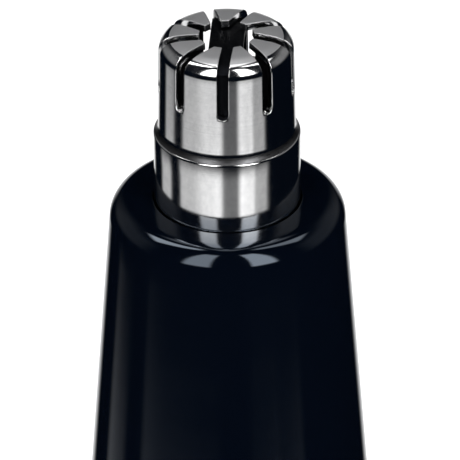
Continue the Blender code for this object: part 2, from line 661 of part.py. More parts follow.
# ---------------------------------------------------------------- drive line
def make_drive_spindle():
    """Steel spindle with a spring collar and two drive flats at its top."""
    outline = [(0.0, SPINDLE_TOP_Z), (SPINDLE_R - 0.1 * MM, SPINDLE_TOP_Z)]
    outline += [(SPINDLE_R, SPINDLE_TOP_Z - 0.1 * MM), (SPINDLE_R, COLLAR_TOP_Z)]
    outline += [(SPINDLE_COLLAR_R, COLLAR_TOP_Z), (SPINDLE_COLLAR_R, COLLAR_Z), (SPINDLE_R, COLLAR_Z)]
    outline += [(SPINDLE_R, SPINDLE_BOTTOM_Z), (0.0, SPINDLE_BOTTOM_Z)]
    spindle = turned("drive_spindle", outline, "steel", COARSE, closed=False)
    flat = SPINDLE_FLATS / 2.0
    wide = 2.0 * SPINDLE_R
    for side, word in SIDES:
        near = side * flat
        far = side * wide
        grind = block("spindle_flat_" + word, (-wide, min(near, far), HUB_BORE_TOP_Z - 0.4 * MM),
                      (wide, max(near, far), SPINDLE_TOP_Z + MM))
        cut(spindle, grind)
    return spindle


def make_spindle_seal():
    """Lip seal that keeps water and hair out of the body."""
    top = SOCKET_FLOOR_Z - FIT_GAP
    outline = [(SEAL_R, top), (SEAL_R, SEAL_BOTTOM_Z + FIT_GAP)]
    outline += [(SPINDLE_R + 0.8 * MM, SEAL_BOTTOM_Z + FIT_GAP)]
    outline += [(SPINDLE_R + RUN_GAP, SEAL_BOTTOM_Z + 0.6 * MM)]
    outline += [(SPINDLE_R + RUN_GAP, SEAL_BOTTOM_Z + 1.1 * MM), (SPINDLE_R + 0.9 * MM, top)]
    return turned("spindle_seal", outline, "rubber", COARSE)


def make_spindle_bush():
    """Sintered bronze bush for the spindle."""
    return tube("spindle_bush", BUSH_R, SPINDLE_R + RUN_GAP, BUSH_BOTTOM_Z, BUSH_TOP_Z, "bronze", COARSE)


def make_shaft_coupler():
    """Sleeve that joins the spindle to the motor shaft."""
    middle = SHAFT_TOP_Z + 0.2 * MM
    outline = [(COUPLER_R - 0.3 * MM, COUPLER_TOP_Z), (COUPLER_R, COUPLER_TOP_Z - 0.3 * MM)]
    outline += [(COUPLER_R, COUPLER_Z + 0.3 * MM), (COUPLER_R - 0.3 * MM, COUPLER_Z)]
    outline += [(SHAFT_R + FIT_GAP, COUPLER_Z), (SHAFT_R + FIT_GAP, middle)]
    outline += [(SPINDLE_R + FIT_GAP, middle), (SPINDLE_R + FIT_GAP, COUPLER_TOP_Z)]
    return turned("shaft_coupler", outline, "white_plastic", COARSE)


# ---------------------------------------------------------------- housing
def make_main_housing():
    """One-piece glossy body: socket, bulkhead, tapering shell and threaded mouth."""
    outer = [(SOCKET_R + 0.1 * MM, SHOULDER_Z)]
    outer += arc(SHOULDER_FLAT_R, EDGE_END_Z, SHOULDER_EDGE_R, 90, 0, 5)
    cone_steps = 3
    for index in range(1, cone_steps + 1):
        z = EDGE_END_Z + (CONE_END_Z - EDGE_END_Z) * index / cone_steps
        outer.append((body_radius(z), z))
    grip_steps = 4
    for index in range(1, grip_steps + 1):
        z = CONE_END_Z + (GRIP_Z - CONE_END_Z) * index / grip_steps
        outer.append((body_radius(z), z))
    foot_steps = 3
    for index in range(1, foot_steps + 1):
        z = GRIP_Z + (CAP_TOP_Z + 0.3 * MM - GRIP_Z) * index / foot_steps
        outer.append((body_radius(z), z))
    outer.append((FOOT_R - 0.25 * MM, CAP_TOP_Z))
    bore_top = CONE_END_Z
    while body_radius(bore_top) - WALL < BORE_R:
        bore_top -= 0.5 * MM
    neck_r = body_radius(BULKHEAD_BOTTOM_Z) - WALL
    bush_seat_r = BUSH_R + FIT_GAP
    boss_r = bush_seat_r + BUSH_BOSS_WALL
    spindle_hole_r = SPINDLE_R + 0.6 * MM
    ring_r = GUARD_RING_R + RUN_GAP + 2.0 * RING_SECTION_R + FIT_GAP
    ring_half = RING_SECTION_R + FIT_GAP
    inner = [(BORE_R + 0.2 * MM, CAP_TOP_Z), (BORE_R, CAP_TOP_Z + 0.2 * MM), (BORE_R, bore_top)]
    inner += [(neck_r, BULKHEAD_BOTTOM_Z - 1.0 * MM), (neck_r - 1.0 * MM, BULKHEAD_BOTTOM_Z)]
    inner += [(boss_r, BULKHEAD_BOTTOM_Z), (boss_r, BUSH_BOTTOM_Z), (bush_seat_r, BUSH_BOTTOM_Z)]
    inner += [(bush_seat_r, BUSH_TOP_Z + FIT_GAP), (spindle_hole_r, BUSH_TOP_Z + FIT_GAP)]
    inner += [(spindle_hole_r, SEAL_BOTTOM_Z), (SEAL_R + FIT_GAP, SEAL_BOTTOM_Z)]
    inner += [(SEAL_R + FIT_GAP, SOCKET_FLOOR_Z), (SOCKET_R, SOCKET_FLOOR_Z)]
    inner += [(SOCKET_R, HEAD_RING_Z - ring_half), (ring_r, HEAD_RING_Z - ring_half)]
    inner += [(ring_r, HEAD_RING_Z + ring_half), (SOCKET_R, HEAD_RING_Z + ring_half)]
    inner += [(SOCKET_R, SHOULDER_Z - 0.1 * MM)]
    housing = turned("main_housing", outer + inner, "gloss_black", FINE)
    cut_thread_grooves(housing)
    cut_switch_window(housing)
    return housing


def cut_thread_grooves(housing):
    """Three helical grooves that the cap's lugs run down and out of."""
    turn_to_mouth = TAU * (LUG_Z - CAP_TOP_Z + 2.5 * MM) / THREAD_LEAD
    end_gap = THREAD_GAP / BORE_R
    for index in range(THREAD_STARTS):
        groove = helix_bar("thread_groove_%d" % (index + 1), BORE_R - 0.8 * MM,
                           SPIGOT_R + THREAD_HEIGHT + THREAD_GAP, LUG_HALF_WIDTH + THREAD_GAP,
                           -turn_to_mouth, LUG_ARC / 2.0 + end_gap, LUG_Z, 20)
        turn_about_z(groove, TAU * index / THREAD_STARTS)
        cut(housing, groove)


def cut_switch_window(housing):
    """The flat recess that the button slides in, and the slot for its stem."""
    recess_bottom = SWITCH_Z - BUTTON_HEIGHT / 2.0 - 0.4 * MM
    recess_top = SWITCH_Z + BUTTON_HEIGHT / 2.0 + SWITCH_TRAVEL + 0.4 * MM
    half = BUTTON_WIDTH / 2.0 + 0.3 * MM
    corner = RECESS_CORNER_R
    outline = []
    for x, z, start in ((half, recess_top, 0), (-half, recess_top, 90), (-half, recess_bottom, 180),
                        (half, recess_bottom, 270)):
        inset_x = x - math.copysign(corner, x)
        inset_z = z - corner if z == recess_top else z + corner
        outline += arc(inset_x, inset_z, corner, start, start + 90, 4)
    upright = Matrix.Rotation(math.radians(90.0), 4, "X")
    cut(housing, prism("switch_recess", outline, -RECESS_Y, GRIP_R + 2.0 * MM, place=upright))
    slot_half = STEM_WIDTH / 2.0 + 0.15 * MM
    slot_bottom = SWITCH_Z - STEM_HEIGHT / 2.0 - 0.2 * MM
    slot_top = SWITCH_Z + STEM_HEIGHT / 2.0 + SWITCH_TRAVEL + 0.2 * MM
    cut(housing, block("switch_slot", (-slot_half, RECESS_Y - MM, slot_bottom),
                       (slot_half, -BORE_R + 2.0 * MM, slot_top)))


def make_head_ring():
    """O-ring in the socket that grips and seals the head."""
    middle_r = GUARD_RING_R + RUN_GAP + RING_SECTION_R
    profile = arc(middle_r, HEAD_RING_Z, RING_SECTION_R, 90, -225, 7)
    return turned("head_o_ring", profile, "rubber", MEDIUM)


# ---------------------------------------------------------------- motor
def make_motor_can():
    """Steel can with two flats and a front boss for its bearing."""
    can = prism("motor_can", flatted_circle(MOTOR_R, MOTOR_HALF_FLAT, 12), CAN_Z, CAN_TOP_Z, "steel")
    fuse(can, rod("motor_boss", MOTOR_BOSS_R, CAN_TOP_Z - 0.4 * MM, BOSS_TOP_Z, steps=COARSE))
    inside = flatted_circle(MOTOR_INNER_R, MOTOR_INNER_FLAT, 12)
    cut(can, prism("can_inside", inside, CAN_Z - MM, CAN_TOP_Z - MOTOR_WALL))
    seat_r = BEARING_R + FIT_GAP
    seat = [(0.0, BOSS_TOP_Z + MM), (SHAFT_HOLE_R, BOSS_TOP_Z + MM), (SHAFT_HOLE_R, BOSS_TOP_Z - BOSS_LIP)]
    seat += [(seat_r, BOSS_TOP_Z - BOSS_LIP), (seat_r, CAN_TOP_Z - 2.0 * MM), (0.0, CAN_TOP_Z - 2.0 * MM)]
    cut(can, turned("front_bearing_seat", seat, steps=COARSE, closed=False))
    for side, word in SIDES:
        hole = rod("screw_hole_" + word, SCREW_HOLE_R, CAN_TOP_Z - 2.0 * MM, CAN_TOP_Z + MM, steps=16)
        hole.location.x = side * MOTOR_SCREW_X
        cut(can, hole)
    return can


def make_motor_end_cap():
    """Plastic end cap that holds the rear bearing and the terminals."""
    cap = prism("motor_end_cap", flatted_circle(MOTOR_R, MOTOR_HALF_FLAT, 12), MOTOR_CAP_Z, CAN_Z - FIT_GAP,
                "white_plastic")
    spigot = flatted_circle(MOTOR_INNER_R - FIT_GAP, MOTOR_INNER_FLAT - FIT_GAP, 12)
    fuse(cap, prism("end_cap_spigot", spigot, MOTOR_CAP_Z + MM, CAN_Z + 0.9 * MM))
    seat_r = BEARING_R + FIT_GAP
    floor = MOTOR_CAP_Z + 0.6 * MM
    seat = [(0.0, CAN_Z + 2.0 * MM), (seat_r, CAN_Z + 2.0 * MM), (seat_r, floor), (SHAFT_HOLE_R, floor)]
    seat += [(SHAFT_HOLE_R, MOTOR_CAP_Z - MM), (0.0, MOTOR_CAP_Z - MM)]
    cut(cap, turned("rear_bearing_seat", seat, steps=COARSE, closed=False))
    slot_half = SHEET / 2.0 + 0.15 * MM
    slot_reach = TERMINAL_WIDTH / 2.0 + 2.0 * FIT_GAP
    for side, word in SIDES:
        low = (side * TERMINAL_X - slot_half, -slot_reach, MOTOR_CAP_Z - MM)
        high = (side * TERMINAL_X + slot_half, slot_reach, CAN_Z + 2.0 * MM)
        cut(cap, block("terminal_slot_" + word, low, high))
    return cap


def make_motor_magnets():
    """Two ferrite arcs inside the can."""
    outline = ring_sector(MAGNET_INNER_R, MAGNET_OUTER_R, MAGNET_HALF, 8)
    bottom = CORE_Z - MAGNET_OVERHANG
    for angle, word in ((0.0, "right"), (math.pi, "left")):
        magnet = prism("motor_magnet_" + word, outline, bottom, CORE_TOP_Z + MAGNET_OVERHANG, "magnet")
        turn_about_z(magnet, angle)


def make_motor_bearings():
    """Front and rear sintered bearings."""
    tube("motor_bearing_front", BEARING_R, SHAFT_R + RUN_GAP, CAN_TOP_Z - 0.9 * MM, BOSS_TOP_Z - 0.5 * MM,
         "bronze", COARSE)
    tube("motor_bearing_rear", BEARING_R, SHAFT_R + RUN_GAP, MOTOR_CAP_Z + 0.7 * MM, CAN_Z + 0.8 * MM,
         "bronze", COARSE)


def make_motor_shaft():
    """Steel shaft of the motor."""
    return rod("motor_shaft", SHAFT_R, SHAFT_BOTTOM_Z, SHAFT_TOP_Z, "steel", COARSE)


def make_armature_core():
    """Laminated core with three poles."""
    shoe_inner = ARMATURE_R - POLE_SHOE
    neck_in = math.sqrt(POLE_HUB_R ** 2 - POLE_NECK_HALF ** 2)
    neck_out = math.sqrt(shoe_inner ** 2 - POLE_NECK_HALF ** 2)
    tip_x = shoe_inner * math.cos(POLE_SHOE_HALF)
    tip_y = shoe_inner * math.sin(POLE_SHOE_HALF)
    shoe_steps = 8
    points = [(neck_in, -POLE_NECK_HALF), (neck_out, -POLE_NECK_HALF), (tip_x, -tip_y)]
    for index in range(shoe_steps + 1):
        angle = -POLE_SHOE_HALF + 2.0 * POLE_SHOE_HALF * index / shoe_steps
        points.append((ARMATURE_R * math.cos(angle), ARMATURE_R * math.sin(angle)))
    points += [(tip_x, tip_y), (neck_out, POLE_NECK_HALF), (neck_in, POLE_NECK_HALF)]
    outline = []
    for pole in range(POLES):
        turn = Matrix.Rotation(TAU * pole / POLES, 2)
        outline += [tuple(turn @ Vector(point)) for point in points]
    bore = circle(SHAFT_R + FIT_GAP, 24)
    return prism("armature_core", outline, CORE_Z, CORE_TOP_Z, "dark_steel", holes=(bore,))


def make_windings():
    """A coil of copper wire around each pole's neck."""
    bottom = CORE_Z - WINDING_OVERHANG
    top = CORE_TOP_Z + WINDING_OVERHANG
    neck_half = POLE_NECK_HALF + FIT_GAP
    for pole in range(POLES):
        name = "armature_winding_%d" % (pole + 1)
        coil = block(name, (WINDING_INNER_R, -WINDING_HALF, bottom), (WINDING_OUTER_R, WINDING_HALF, top),
                     "copper")
        hole = block("winding_window_%d" % (pole + 1), (MM, -neck_half, CORE_Z - FIT_GAP),
                     (WINDING_OUTER_R + MM, neck_half, CORE_TOP_Z + FIT_GAP))
        turn_about_z(coil, TAU * pole / POLES)
        turn_about_z(hole, TAU * pole / POLES)
        cut(coil, hole)


def make_commutator():
    """Copper sleeve that the brushes run on."""
    return tube("commutator", COMMUTATOR_R, SHAFT_R + FIT_GAP, CAN_Z + 1.1 * MM, CORE_Z - 1.1 * MM, "copper",
                COARSE)


def make_brushes_and_terminals():
    """A spring arm with its carbon brush on each side of the commutator."""
    arm_z = CAN_Z + 2.2 * MM
    brush_height = 0.8 * MM
    for side, word in SIDES:
        inner = side * (COMMUTATOR_R + RUN_GAP)
        outer = side * BRUSH_OUTER_X
        low = (min(inner, outer), -BRUSH_HALF, arm_z - brush_height)
        high = (max(inner, outer), BRUSH_HALF, arm_z + brush_height)
        block("motor_brush_" + word, low, high, "carbon")
        behind_brush = side * (BRUSH_OUTER_X + FIT_GAP + SHEET / 2.0)
        foot = side * TERMINAL_X
        route = [(foot, MOTOR_CAP_Z - 0.9 * MM), (foot, arm_z - 0.9 * MM), (behind_brush, arm_z)]
        route += [(behind_brush, arm_z + brush_height)]
        terminal = sheet_strip("motor_terminal_" + word, route, TERMINAL_WIDTH, SHEET, "brass")
        turn_about_z(terminal, math.radians(-90.0))


def make_motor_screws():
    """Two pan-head screws that hold the motor to the chassis."""
    head_z = PLATE_TOP_Z + REST_GAP
    head_top = head_z + MOTOR_SCREW_HEAD
    tip_z = CAN_TOP_Z - MOTOR_WALL - 0.2 * MM
    outline = [(0.0, head_top), (0.8 * MM, head_top), (MOTOR_SCREW_HEAD_R, head_z + 0.4 * MM)]
    outline += [(MOTOR_SCREW_HEAD_R, head_z), (MOTOR_SCREW_R, head_z), (MOTOR_SCREW_R, tip_z), (0.0, tip_z)]
    long = 0.9 * MM
    thin = 0.16 * MM
    for side, word in SIDES:
        screw = turned("motor_screw_" + word, outline, "steel", COARSE, closed=False)
        screw.location.x = side * MOTOR_SCREW_X
        for x, y, way in ((long, thin, "across"), (thin, long, "along")):
            cross = block("screw_cross_%s_%s" % (way, word), (-x, -y, head_top - 0.35 * MM),
                          (x, y, head_top + MM))
            cross.location.x += side * MOTOR_SCREW_X
            cut(screw, cross)


# ---------------------------------------------------------------- chassis and contacts
def make_inner_chassis():
    """Plastic carrier: battery tube below, open-fronted motor cradle above."""
    tube_inner = CELL_R + CELL_SIDE_GAP
    cradle_inner = MOTOR_R + FIT_GAP
    outline = [(CRADLE_R, PLATE_TOP_Z), (CRADLE_R, CHASSIS_STEP_Z), (CHASSIS_R, CHASSIS_STEP_Z - 0.6 * MM)]
    outline += [(CHASSIS_R, CHASSIS_BOTTOM_Z), (tube_inner, CHASSIS_BOTTOM_Z), (tube_inner, BULKHEAD_Z)]
    outline += [(1.2 * MM, BULKHEAD_Z), (1.2 * MM, BULKHEAD_TOP_Z), (cradle_inner, BULKHEAD_TOP_Z)]
    outline += [(cradle_inner, PLATE_Z), (MOTOR_BOSS_R + FIT_GAP, PLATE_Z)]
    outline += [(MOTOR_BOSS_R + FIT_GAP, PLATE_TOP_Z)]
    chassis = turned("inner_chassis", outline, "grey_plastic", FINE)
    opening = 0.8 * MOTOR_R
    opening_y = -math.sqrt(cradle_inner ** 2 - opening ** 2)
    cut(chassis, block("cradle_front", (-opening, -CHASSIS_R - MM, BULKHEAD_TOP_Z),
                       (opening, opening_y, PLATE_Z)))
    cut(chassis, block("strip_channel", (-CHANNEL_HALF, -CHASSIS_R - MM, CHASSIS_BOTTOM_Z - MM),
                       (CHANNEL_HALF, -CHASSIS_R + CHANNEL_DEPTH, BULKHEAD_TOP_Z + MM)))
    cut(chassis, block("terminal_window", (-POSITIVE_X - 0.65 * MM, -1.5 * MM, BULKHEAD_Z - MM),
                       (-POSITIVE_X + 1.15 * MM, 1.5 * MM, BULKHEAD_TOP_Z + MM)))
    for side, word in SIDES:
        hole = rod("plate_hole_" + word, SCREW_HOLE_R, PLATE_Z - MM, PLATE_TOP_Z + MM, steps=16)
        hole.location.x = side * MOTOR_SCREW_X
        cut(chassis, hole)
    return chassis


def make_positive_contact():
    """Spring contact on the battery's nub, bent up to the motor's left terminal."""
    flat_z = CONTACT_PLATE_Z + SHEET / 2.0
    route = [(-2.6 * MM, flat_z), (POSITIVE_X, flat_z), (POSITIVE_X, MOTOR_CAP_Z - 0.3 * MM)]
    contact = sheet_strip("battery_positive_contact", route, 2.2 * MM, SHEET, "brass")
    turn_about_z(contact, math.radians(90.0))
    return contact


def make_negative_strip():
    """Long strip from the battery cap, in the chassis channel, up to the switch's lower contact."""
    channel_y = -CHASSIS_R + 0.35 * MM
    contact_y = CONTACT_Y + SHEET / 2.0
    foot_z = SPIGOT_TOP_Z + 0.45 * MM
    bend_z = BULKHEAD_TOP_Z + 0.6 * MM
    route = [(-CELL_R - 0.5 * MM, foot_z), (channel_y, foot_z), (channel_y, bend_z)]
    route += [(contact_y, bend_z + 0.5 * MM), (contact_y, SWITCH_Z + CONTACT_LOW_TOP)]
    return sheet_strip("negative_contact_strip", route, CONTACT_WIDTH, SHEET, "brass")


def make_switch_contact():
    """Upper fixed contact of the switch, above a gap that the moving contact bridges."""
    contact_y = CONTACT_Y + SHEET / 2.0
    route = [(contact_y, SWITCH_Z + CONTACT_HIGH_BOTTOM), (contact_y, SWITCH_Z + 6.0 * MM)]
    return sheet_strip("switch_fixed_contact", route, CONTACT_WIDTH, SHEET, "brass")


def make_switch_lead():
    """Insulated lead from the fixed contact to the motor's right terminal."""
    y = CONTACT_Y + SHEET / 2.0
    start = Vector((1.7 * MM, y, SWITCH_Z + 5.0 * MM))
    low_z = MOTOR_CAP_Z - 0.75 * MM
    corners = [start, Vector((4.6 * MM, y, SWITCH_Z + 4.0 * MM)), Vector((5.0 * MM, y, SWITCH_Z + 1.0 * MM)),
               Vector((5.0 * MM, y, MOTOR_CAP_Z + 0.8 * MM)), Vector((5.0 * MM, y + 1.1 * MM, low_z)),
               Vector((4.75 * MM, -1.2 * MM, low_z))]
    return wire("switch_lead", corners, 0.32 * MM, "rubber")


# ---------------------------------------------------------------- switch
def make_switch_button():
    """Sliding thumb button with grip ribs, and the stem that reaches inside."""
    half = BUTTON_WIDTH / 2.0
    back_y = RECESS_Y - 0.12 * MM
    front_y = back_y - BUTTON_THICKNESS
    low_z = SWITCH_Z - BUTTON_HEIGHT / 2.0
    top_z = SWITCH_Z + BUTTON_HEIGHT / 2.0
    button = block("switch_button", (-half, front_y, low_z), (half, back_y, top_z), "matt_black")
    edge = button.modifiers.new("rounded", "BEVEL")
    edge.width = BUTTON_EDGE_R
    edge.segments = 2
    edge.limit_method = "ANGLE"
    pitch = (BUTTON_HEIGHT - 2.0 * BUTTON_MARGIN) / BUTTON_RIBS
    for index in range(BUTTON_RIBS + 1):
        z = low_z + BUTTON_MARGIN + pitch * index
        groove = block("button_groove_%d" % (index + 1), (-half - MM, front_y - MM, z - BUTTON_GROOVE_HALF),
                       (half + MM, front_y + BUTTON_GROOVE_DEPTH, z + BUTTON_GROOVE_HALF))
        cut(button, groove)
    stem_half = STEM_WIDTH / 2.0
    stem = block("button_stem", (-stem_half, back_y - 0.5 * MM, SWITCH_Z - STEM_HEIGHT / 2.0),
                 (stem_half, -BORE_R + 0.55 * MM, SWITCH_Z + STEM_HEIGHT / 2.0))
    fuse(button, stem)
    return button


def make_switch_carrier():
    """Plastic slider inside the housing that the stem drives."""
    front_y = -BORE_R + 0.65 * MM
    back_y = CONTACT_Y - 0.5 * MM
    return block("switch_carrier", (-CARRIER_HALF_WIDTH, front_y, SWITCH_Z - CARRIER_HALF_HEIGHT),
                 (CARRIER_HALF_WIDTH, back_y, SWITCH_Z + CARRIER_HALF_HEIGHT), "white_plastic")


def make_switch_moving_contact():
    """Bridge contact on the carrier: it joins the two fixed contacts when switched on."""
    y = CONTACT_Y - FIT_GAP - SHEET / 2.0
    top = SWITCH_Z + CONTACT_LOW_TOP
    route = [(y, top - BRIDGE_LENGTH), (y, top)]
    return sheet_strip("switch_moving_contact", route, 2.0 * MM, SHEET, "brass")


# ---------------------------------------------------------------- battery and cap
def make_battery_cell():
    """One AA cell."""
    body_top = CELL_TOP_Z - CELL_NUB_HEIGHT
    outline = [(0.0, CELL_TOP_Z), (CELL_NUB_R, CELL_TOP_Z), (CELL_NUB_R, body_top)]
    outline += [(CELL_R - 0.5 * MM, body_top), (CELL_R, body_top - 0.5 * MM)]
    outline += [(CELL_R, CELL_BOTTOM_Z + 0.4 * MM), (CELL_R - 0.4 * MM, CELL_BOTTOM_Z), (0.0, CELL_BOTTOM_Z)]
    return turned("battery_cell", outline, "cell", FINE, closed=False)


def make_battery_spring():
    """Conical spring under the battery."""
    bottom = CAP_FLOOR + SHEET + 2.0 * FIT_GAP + BATTERY_WIRE_R
    top = CELL_BOTTOM_Z - RUN_GAP - BATTERY_WIRE_R
    steps = 14 * BATTERY_SPRING_TURNS
    points = []
    for index in range(steps + 1):
        share = index / steps
        angle = TAU * BATTERY_SPRING_TURNS * share
        radius = BATTERY_SPRING_R + (BATTERY_SPRING_TOP_R - BATTERY_SPRING_R) * share
        points.append((radius * math.cos(angle), radius * math.sin(angle), bottom + (top - bottom) * share))
    return wire("battery_spring", points, BATTERY_WIRE_R, "steel", resolution=0)


def make_cap_contact_cup():
    """Metal cup in the cap: it carries the spring's current up to the long strip."""
    outer_r = SPIGOT_BORE_R - FIT_GAP
    floor = CAP_FLOOR + FIT_GAP
    rim = SPIGOT_TOP_Z + 0.15 * MM
    outline = [(outer_r, rim), (outer_r, floor), (0.0, floor), (0.0, floor + SHEET)]
    outline += [(outer_r - SHEET, floor + SHEET), (outer_r - SHEET, rim)]
    return turned("cap_contact_cup", outline + [outline[0]], "brass", FINE, closed=False)


def make_battery_cap():
    """Screw-off cap: fluted outside, spigot with O-ring groove and three thread lugs."""
    side_top = CAP_TOP_Z - PARTING_GAP
    groove_r = SPIGOT_R - 2.0 * RING_SECTION_R + 0.15 * MM - FIT_GAP
    groove_low = side_top + 0.5 * MM
    groove_high = groove_low + 2.0 * RING_SECTION_R + 0.2 * MM
    outline = [(SPIGOT_R - 0.2 * MM, SPIGOT_TOP_Z), (SPIGOT_R, SPIGOT_TOP_Z - 0.2 * MM)]
    outline += [(SPIGOT_R, groove_high), (groove_r, groove_high), (groove_r, groove_low)]
    outline += [(SPIGOT_R, groove_low), (SPIGOT_R, side_top), (CAP_R - 0.25 * MM, side_top)]
    outline += [(CAP_R, side_top - 0.25 * MM)]
    outline += arc(CAP_R - CAP_EDGE_R, CAP_EDGE_R, CAP_EDGE_R, 0, -90, 4)
    outline += [(0.0, 0.0), (0.0, CAP_FLOOR), (SPIGOT_BORE_R, CAP_FLOOR), (SPIGOT_BORE_R, SPIGOT_TOP_Z)]
    cap = turned("battery_cap", outline + [outline[0]], "gloss_black", FINE, closed=False)
    for index in range(THREAD_STARTS):
        lug = helix_bar("cap_lug_%d" % (index + 1), SPIGOT_R - 0.5 * MM, SPIGOT_R + THREAD_HEIGHT,
                        LUG_HALF_WIDTH, -LUG_ARC / 2.0, LUG_ARC / 2.0, LUG_Z, 4)
        turn_about_z(lug, TAU * index / THREAD_STARTS)
        fuse(cap, lug)
    for index in range(FLUTE_COUNT):
        flute = rod("cap_flute_%d" % (index + 1), FLUTE_R, CAP_EDGE_R + 0.6 * MM, side_top - 1.6 * MM,
                    steps=8)
        flute.location.x = CAP_R + FLUTE_R - FLUTE_DEPTH
        turn_about_z(flute, TAU * (index + 0.5) / FLUTE_COUNT)
        cut(cap, flute)
    return cap


def make_cap_ring():
    """O-ring that seals the cap in the housing."""
    middle_r = SPIGOT_R - RING_SECTION_R + 0.10 * MM
    middle_z = CAP_TOP_Z - PARTING_GAP + 0.6 * MM + RING_SECTION_R
    profile = arc(middle_r, middle_z, RING_SECTION_R, 90, -225, 7)
    return turned("cap_o_ring", profile, "rubber", FINE)


# ---------------------------------------------------------------- assembly
def build():
    """Makes every piece in its place."""
    make_cutter_guard()
    make_head_base()
    make_inner_blade()
    make_blade_hub()
    make_blade_spring()
    make_drive_spindle()
    make_spindle_seal()
    make_spindle_bush()
    make_shaft_coupler()
    make_main_housing()
    make_head_ring()
    make_motor_can()
    make_motor_end_cap()
    make_motor_magnets()
    make_motor_bearings()
    make_motor_shaft()
    make_armature_core()
    make_windings()
    make_commutator()
    make_brushes_and_terminals()
    make_motor_screws()
    make_inner_chassis()
    make_positive_contact()
    make_negative_strip()
    make_switch_contact()
    make_switch_lead()
    make_switch_button()
    make_switch_carrier()
    make_switch_moving_contact()
    make_battery_cell()
    make_battery_spring()
    make_cap_contact_cup()
    make_battery_cap()
    make_cap_ring()


build()
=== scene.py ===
"""Looks of the nose hair trimmer: fine turned surfaces, materials, light and camera.

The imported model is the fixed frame. Every piece that shows is turned again here with many
more steps, with rounded edges, and rides on the same body as the solid it stands for.
Units are metres. The slide switch and the camera are on the -Y side.
"""

import math

import bmesh
import bpy
from mathutils import Matrix, Vector


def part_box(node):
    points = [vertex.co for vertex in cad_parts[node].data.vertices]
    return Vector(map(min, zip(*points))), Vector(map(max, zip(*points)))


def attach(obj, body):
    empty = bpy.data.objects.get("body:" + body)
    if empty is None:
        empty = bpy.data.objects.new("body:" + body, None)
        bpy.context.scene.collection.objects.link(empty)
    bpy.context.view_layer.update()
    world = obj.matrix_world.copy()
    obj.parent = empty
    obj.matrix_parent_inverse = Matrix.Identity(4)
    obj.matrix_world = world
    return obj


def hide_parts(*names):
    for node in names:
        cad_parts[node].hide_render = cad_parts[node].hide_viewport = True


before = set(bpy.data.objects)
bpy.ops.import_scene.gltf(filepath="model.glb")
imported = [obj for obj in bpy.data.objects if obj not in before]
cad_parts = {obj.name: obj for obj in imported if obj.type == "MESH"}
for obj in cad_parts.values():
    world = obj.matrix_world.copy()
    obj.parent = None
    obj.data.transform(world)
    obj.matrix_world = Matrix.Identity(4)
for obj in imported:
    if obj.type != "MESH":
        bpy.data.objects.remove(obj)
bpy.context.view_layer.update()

MM = 0.001
TAU = 2.0 * math.pi

# ---------------------------------------------------------------- sizes shared with the frame
GUARD_LOW, GUARD_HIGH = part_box("cutter_guard")
BASE_LOW, BASE_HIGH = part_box("head_base")
HOUSING_LOW, HOUSING_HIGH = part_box("main_housing")
CAP_LOW, CAP_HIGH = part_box("battery_cap")
BUTTON_LOW, BUTTON_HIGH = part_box("switch_button")

SHOULDER_Z = HOUSING_HIGH[2]
MOUTH_Z = HOUSING_LOW[2]
HEAD_TOP_Z = GUARD_HIGH[2]
RING_R = GUARD_HIGH[0]
RING_BOTTOM_Z = GUARD_LOW[2]
RING_HEIGHT = 4.90 * MM         # from the shoulder to the step
STEP_Z = SHOULDER_Z + RING_HEIGHT
TUBE_R = 4.45 * MM
TUBE_FOOT_R = 4.55 * MM
GUARD_WALL = 0.50 * MM
DOME_EDGE_R = 0.90 * MM         # polished edge between dome and tube
DOME_EDGE_START = 22.0          # degrees, where that edge takes over from the crown
CROWN_R = 3.0 * MM              # gentler rounding inside the polished edge
CROWN = 0.04 * MM               # rise of the flat top from the crown to the hole
HOLE_R = 1.80 * MM
SLOT_OFFSET = 0.30 * MM         # the slots pass beside the axis, so they swirl a little
SLOT_COUNT = 9
SLOT_HALF = 0.37 * MM
SLOT_DEPTH = 4.00 * MM
SLOT_END_Z = HEAD_TOP_Z - SLOT_DEPTH
SLOT_CENTRE_Z = SLOT_END_Z + SLOT_HALF   # of the round end
SLOT_FIRST_ANGLE = math.radians(-93.5)   # of a slot's middle where it meets the tube
SLOT_EDGE = 0.05 * MM           # rounding of a slot's outer edges
FLARE_MARGIN = 0.03 * MM        # of polished steel above and below the blasted flare
SATIN_SHORT = 0.10 * MM         # how far short of the polished edge the satin top ends

SHOULDER_FLAT_R = 6.25 * MM
SHOULDER_EDGE_R = 1.60 * MM
EDGE_END_Z = SHOULDER_Z - SHOULDER_EDGE_R
CONE_DEGREES = 4.4
CONE_HALF_ANGLE = math.radians(CONE_DEGREES)
CONE_END_Z = 78.0 * MM
GRIP_R = 12.0 * MM
GRIP_Z = 54.0 * MM
FOOT_R = 11.2 * MM
FOOT_SLOPE = 0.03               # taper of the housing where it meets the cap
WALL = 1.6 * MM
BORE_R = 9.4 * MM
BASE_BORE_R = 3.95 * MM
FIT_GAP = 0.10 * MM             # between pieces that are fixed to each other
SOCKET_R = RING_R + FIT_GAP
SOCKET_FLOOR_Z = BASE_LOW[2] - FIT_GAP
BULKHEAD_THICKNESS = 4.0 * MM
SPINDLE_HOLE_R = 1.6 * MM
RECESS_Y = -10.6 * MM           # floor of the flat recess that the button slides in
SWITCH_TRAVEL = 4.0 * MM
SPIGOT_R = BORE_R - 0.15 * MM
THREAD_LEAD = 12.0 * MM
THREAD_STARTS = 3
THREAD_HEIGHT = 0.75 * MM
THREAD_GAP = 0.20 * MM
LUG_ARC = math.radians(36.0)
LUG_Z = MOUTH_Z + 5.3 * MM
LUG_HALF_WIDTH = 0.75 * MM
FLUTE_COUNT = 12
FLUTE_R = 1.0 * MM
FLUTE_DEPTH = 0.35 * MM


# ---------------------------------------------------------------- mesh helpers
def finished_mesh(name, model):
    """The mesh of a bmesh, which is then freed."""
    mesh = bpy.data.meshes.new(name)
    model.to_mesh(mesh)
    model.free()
    return mesh


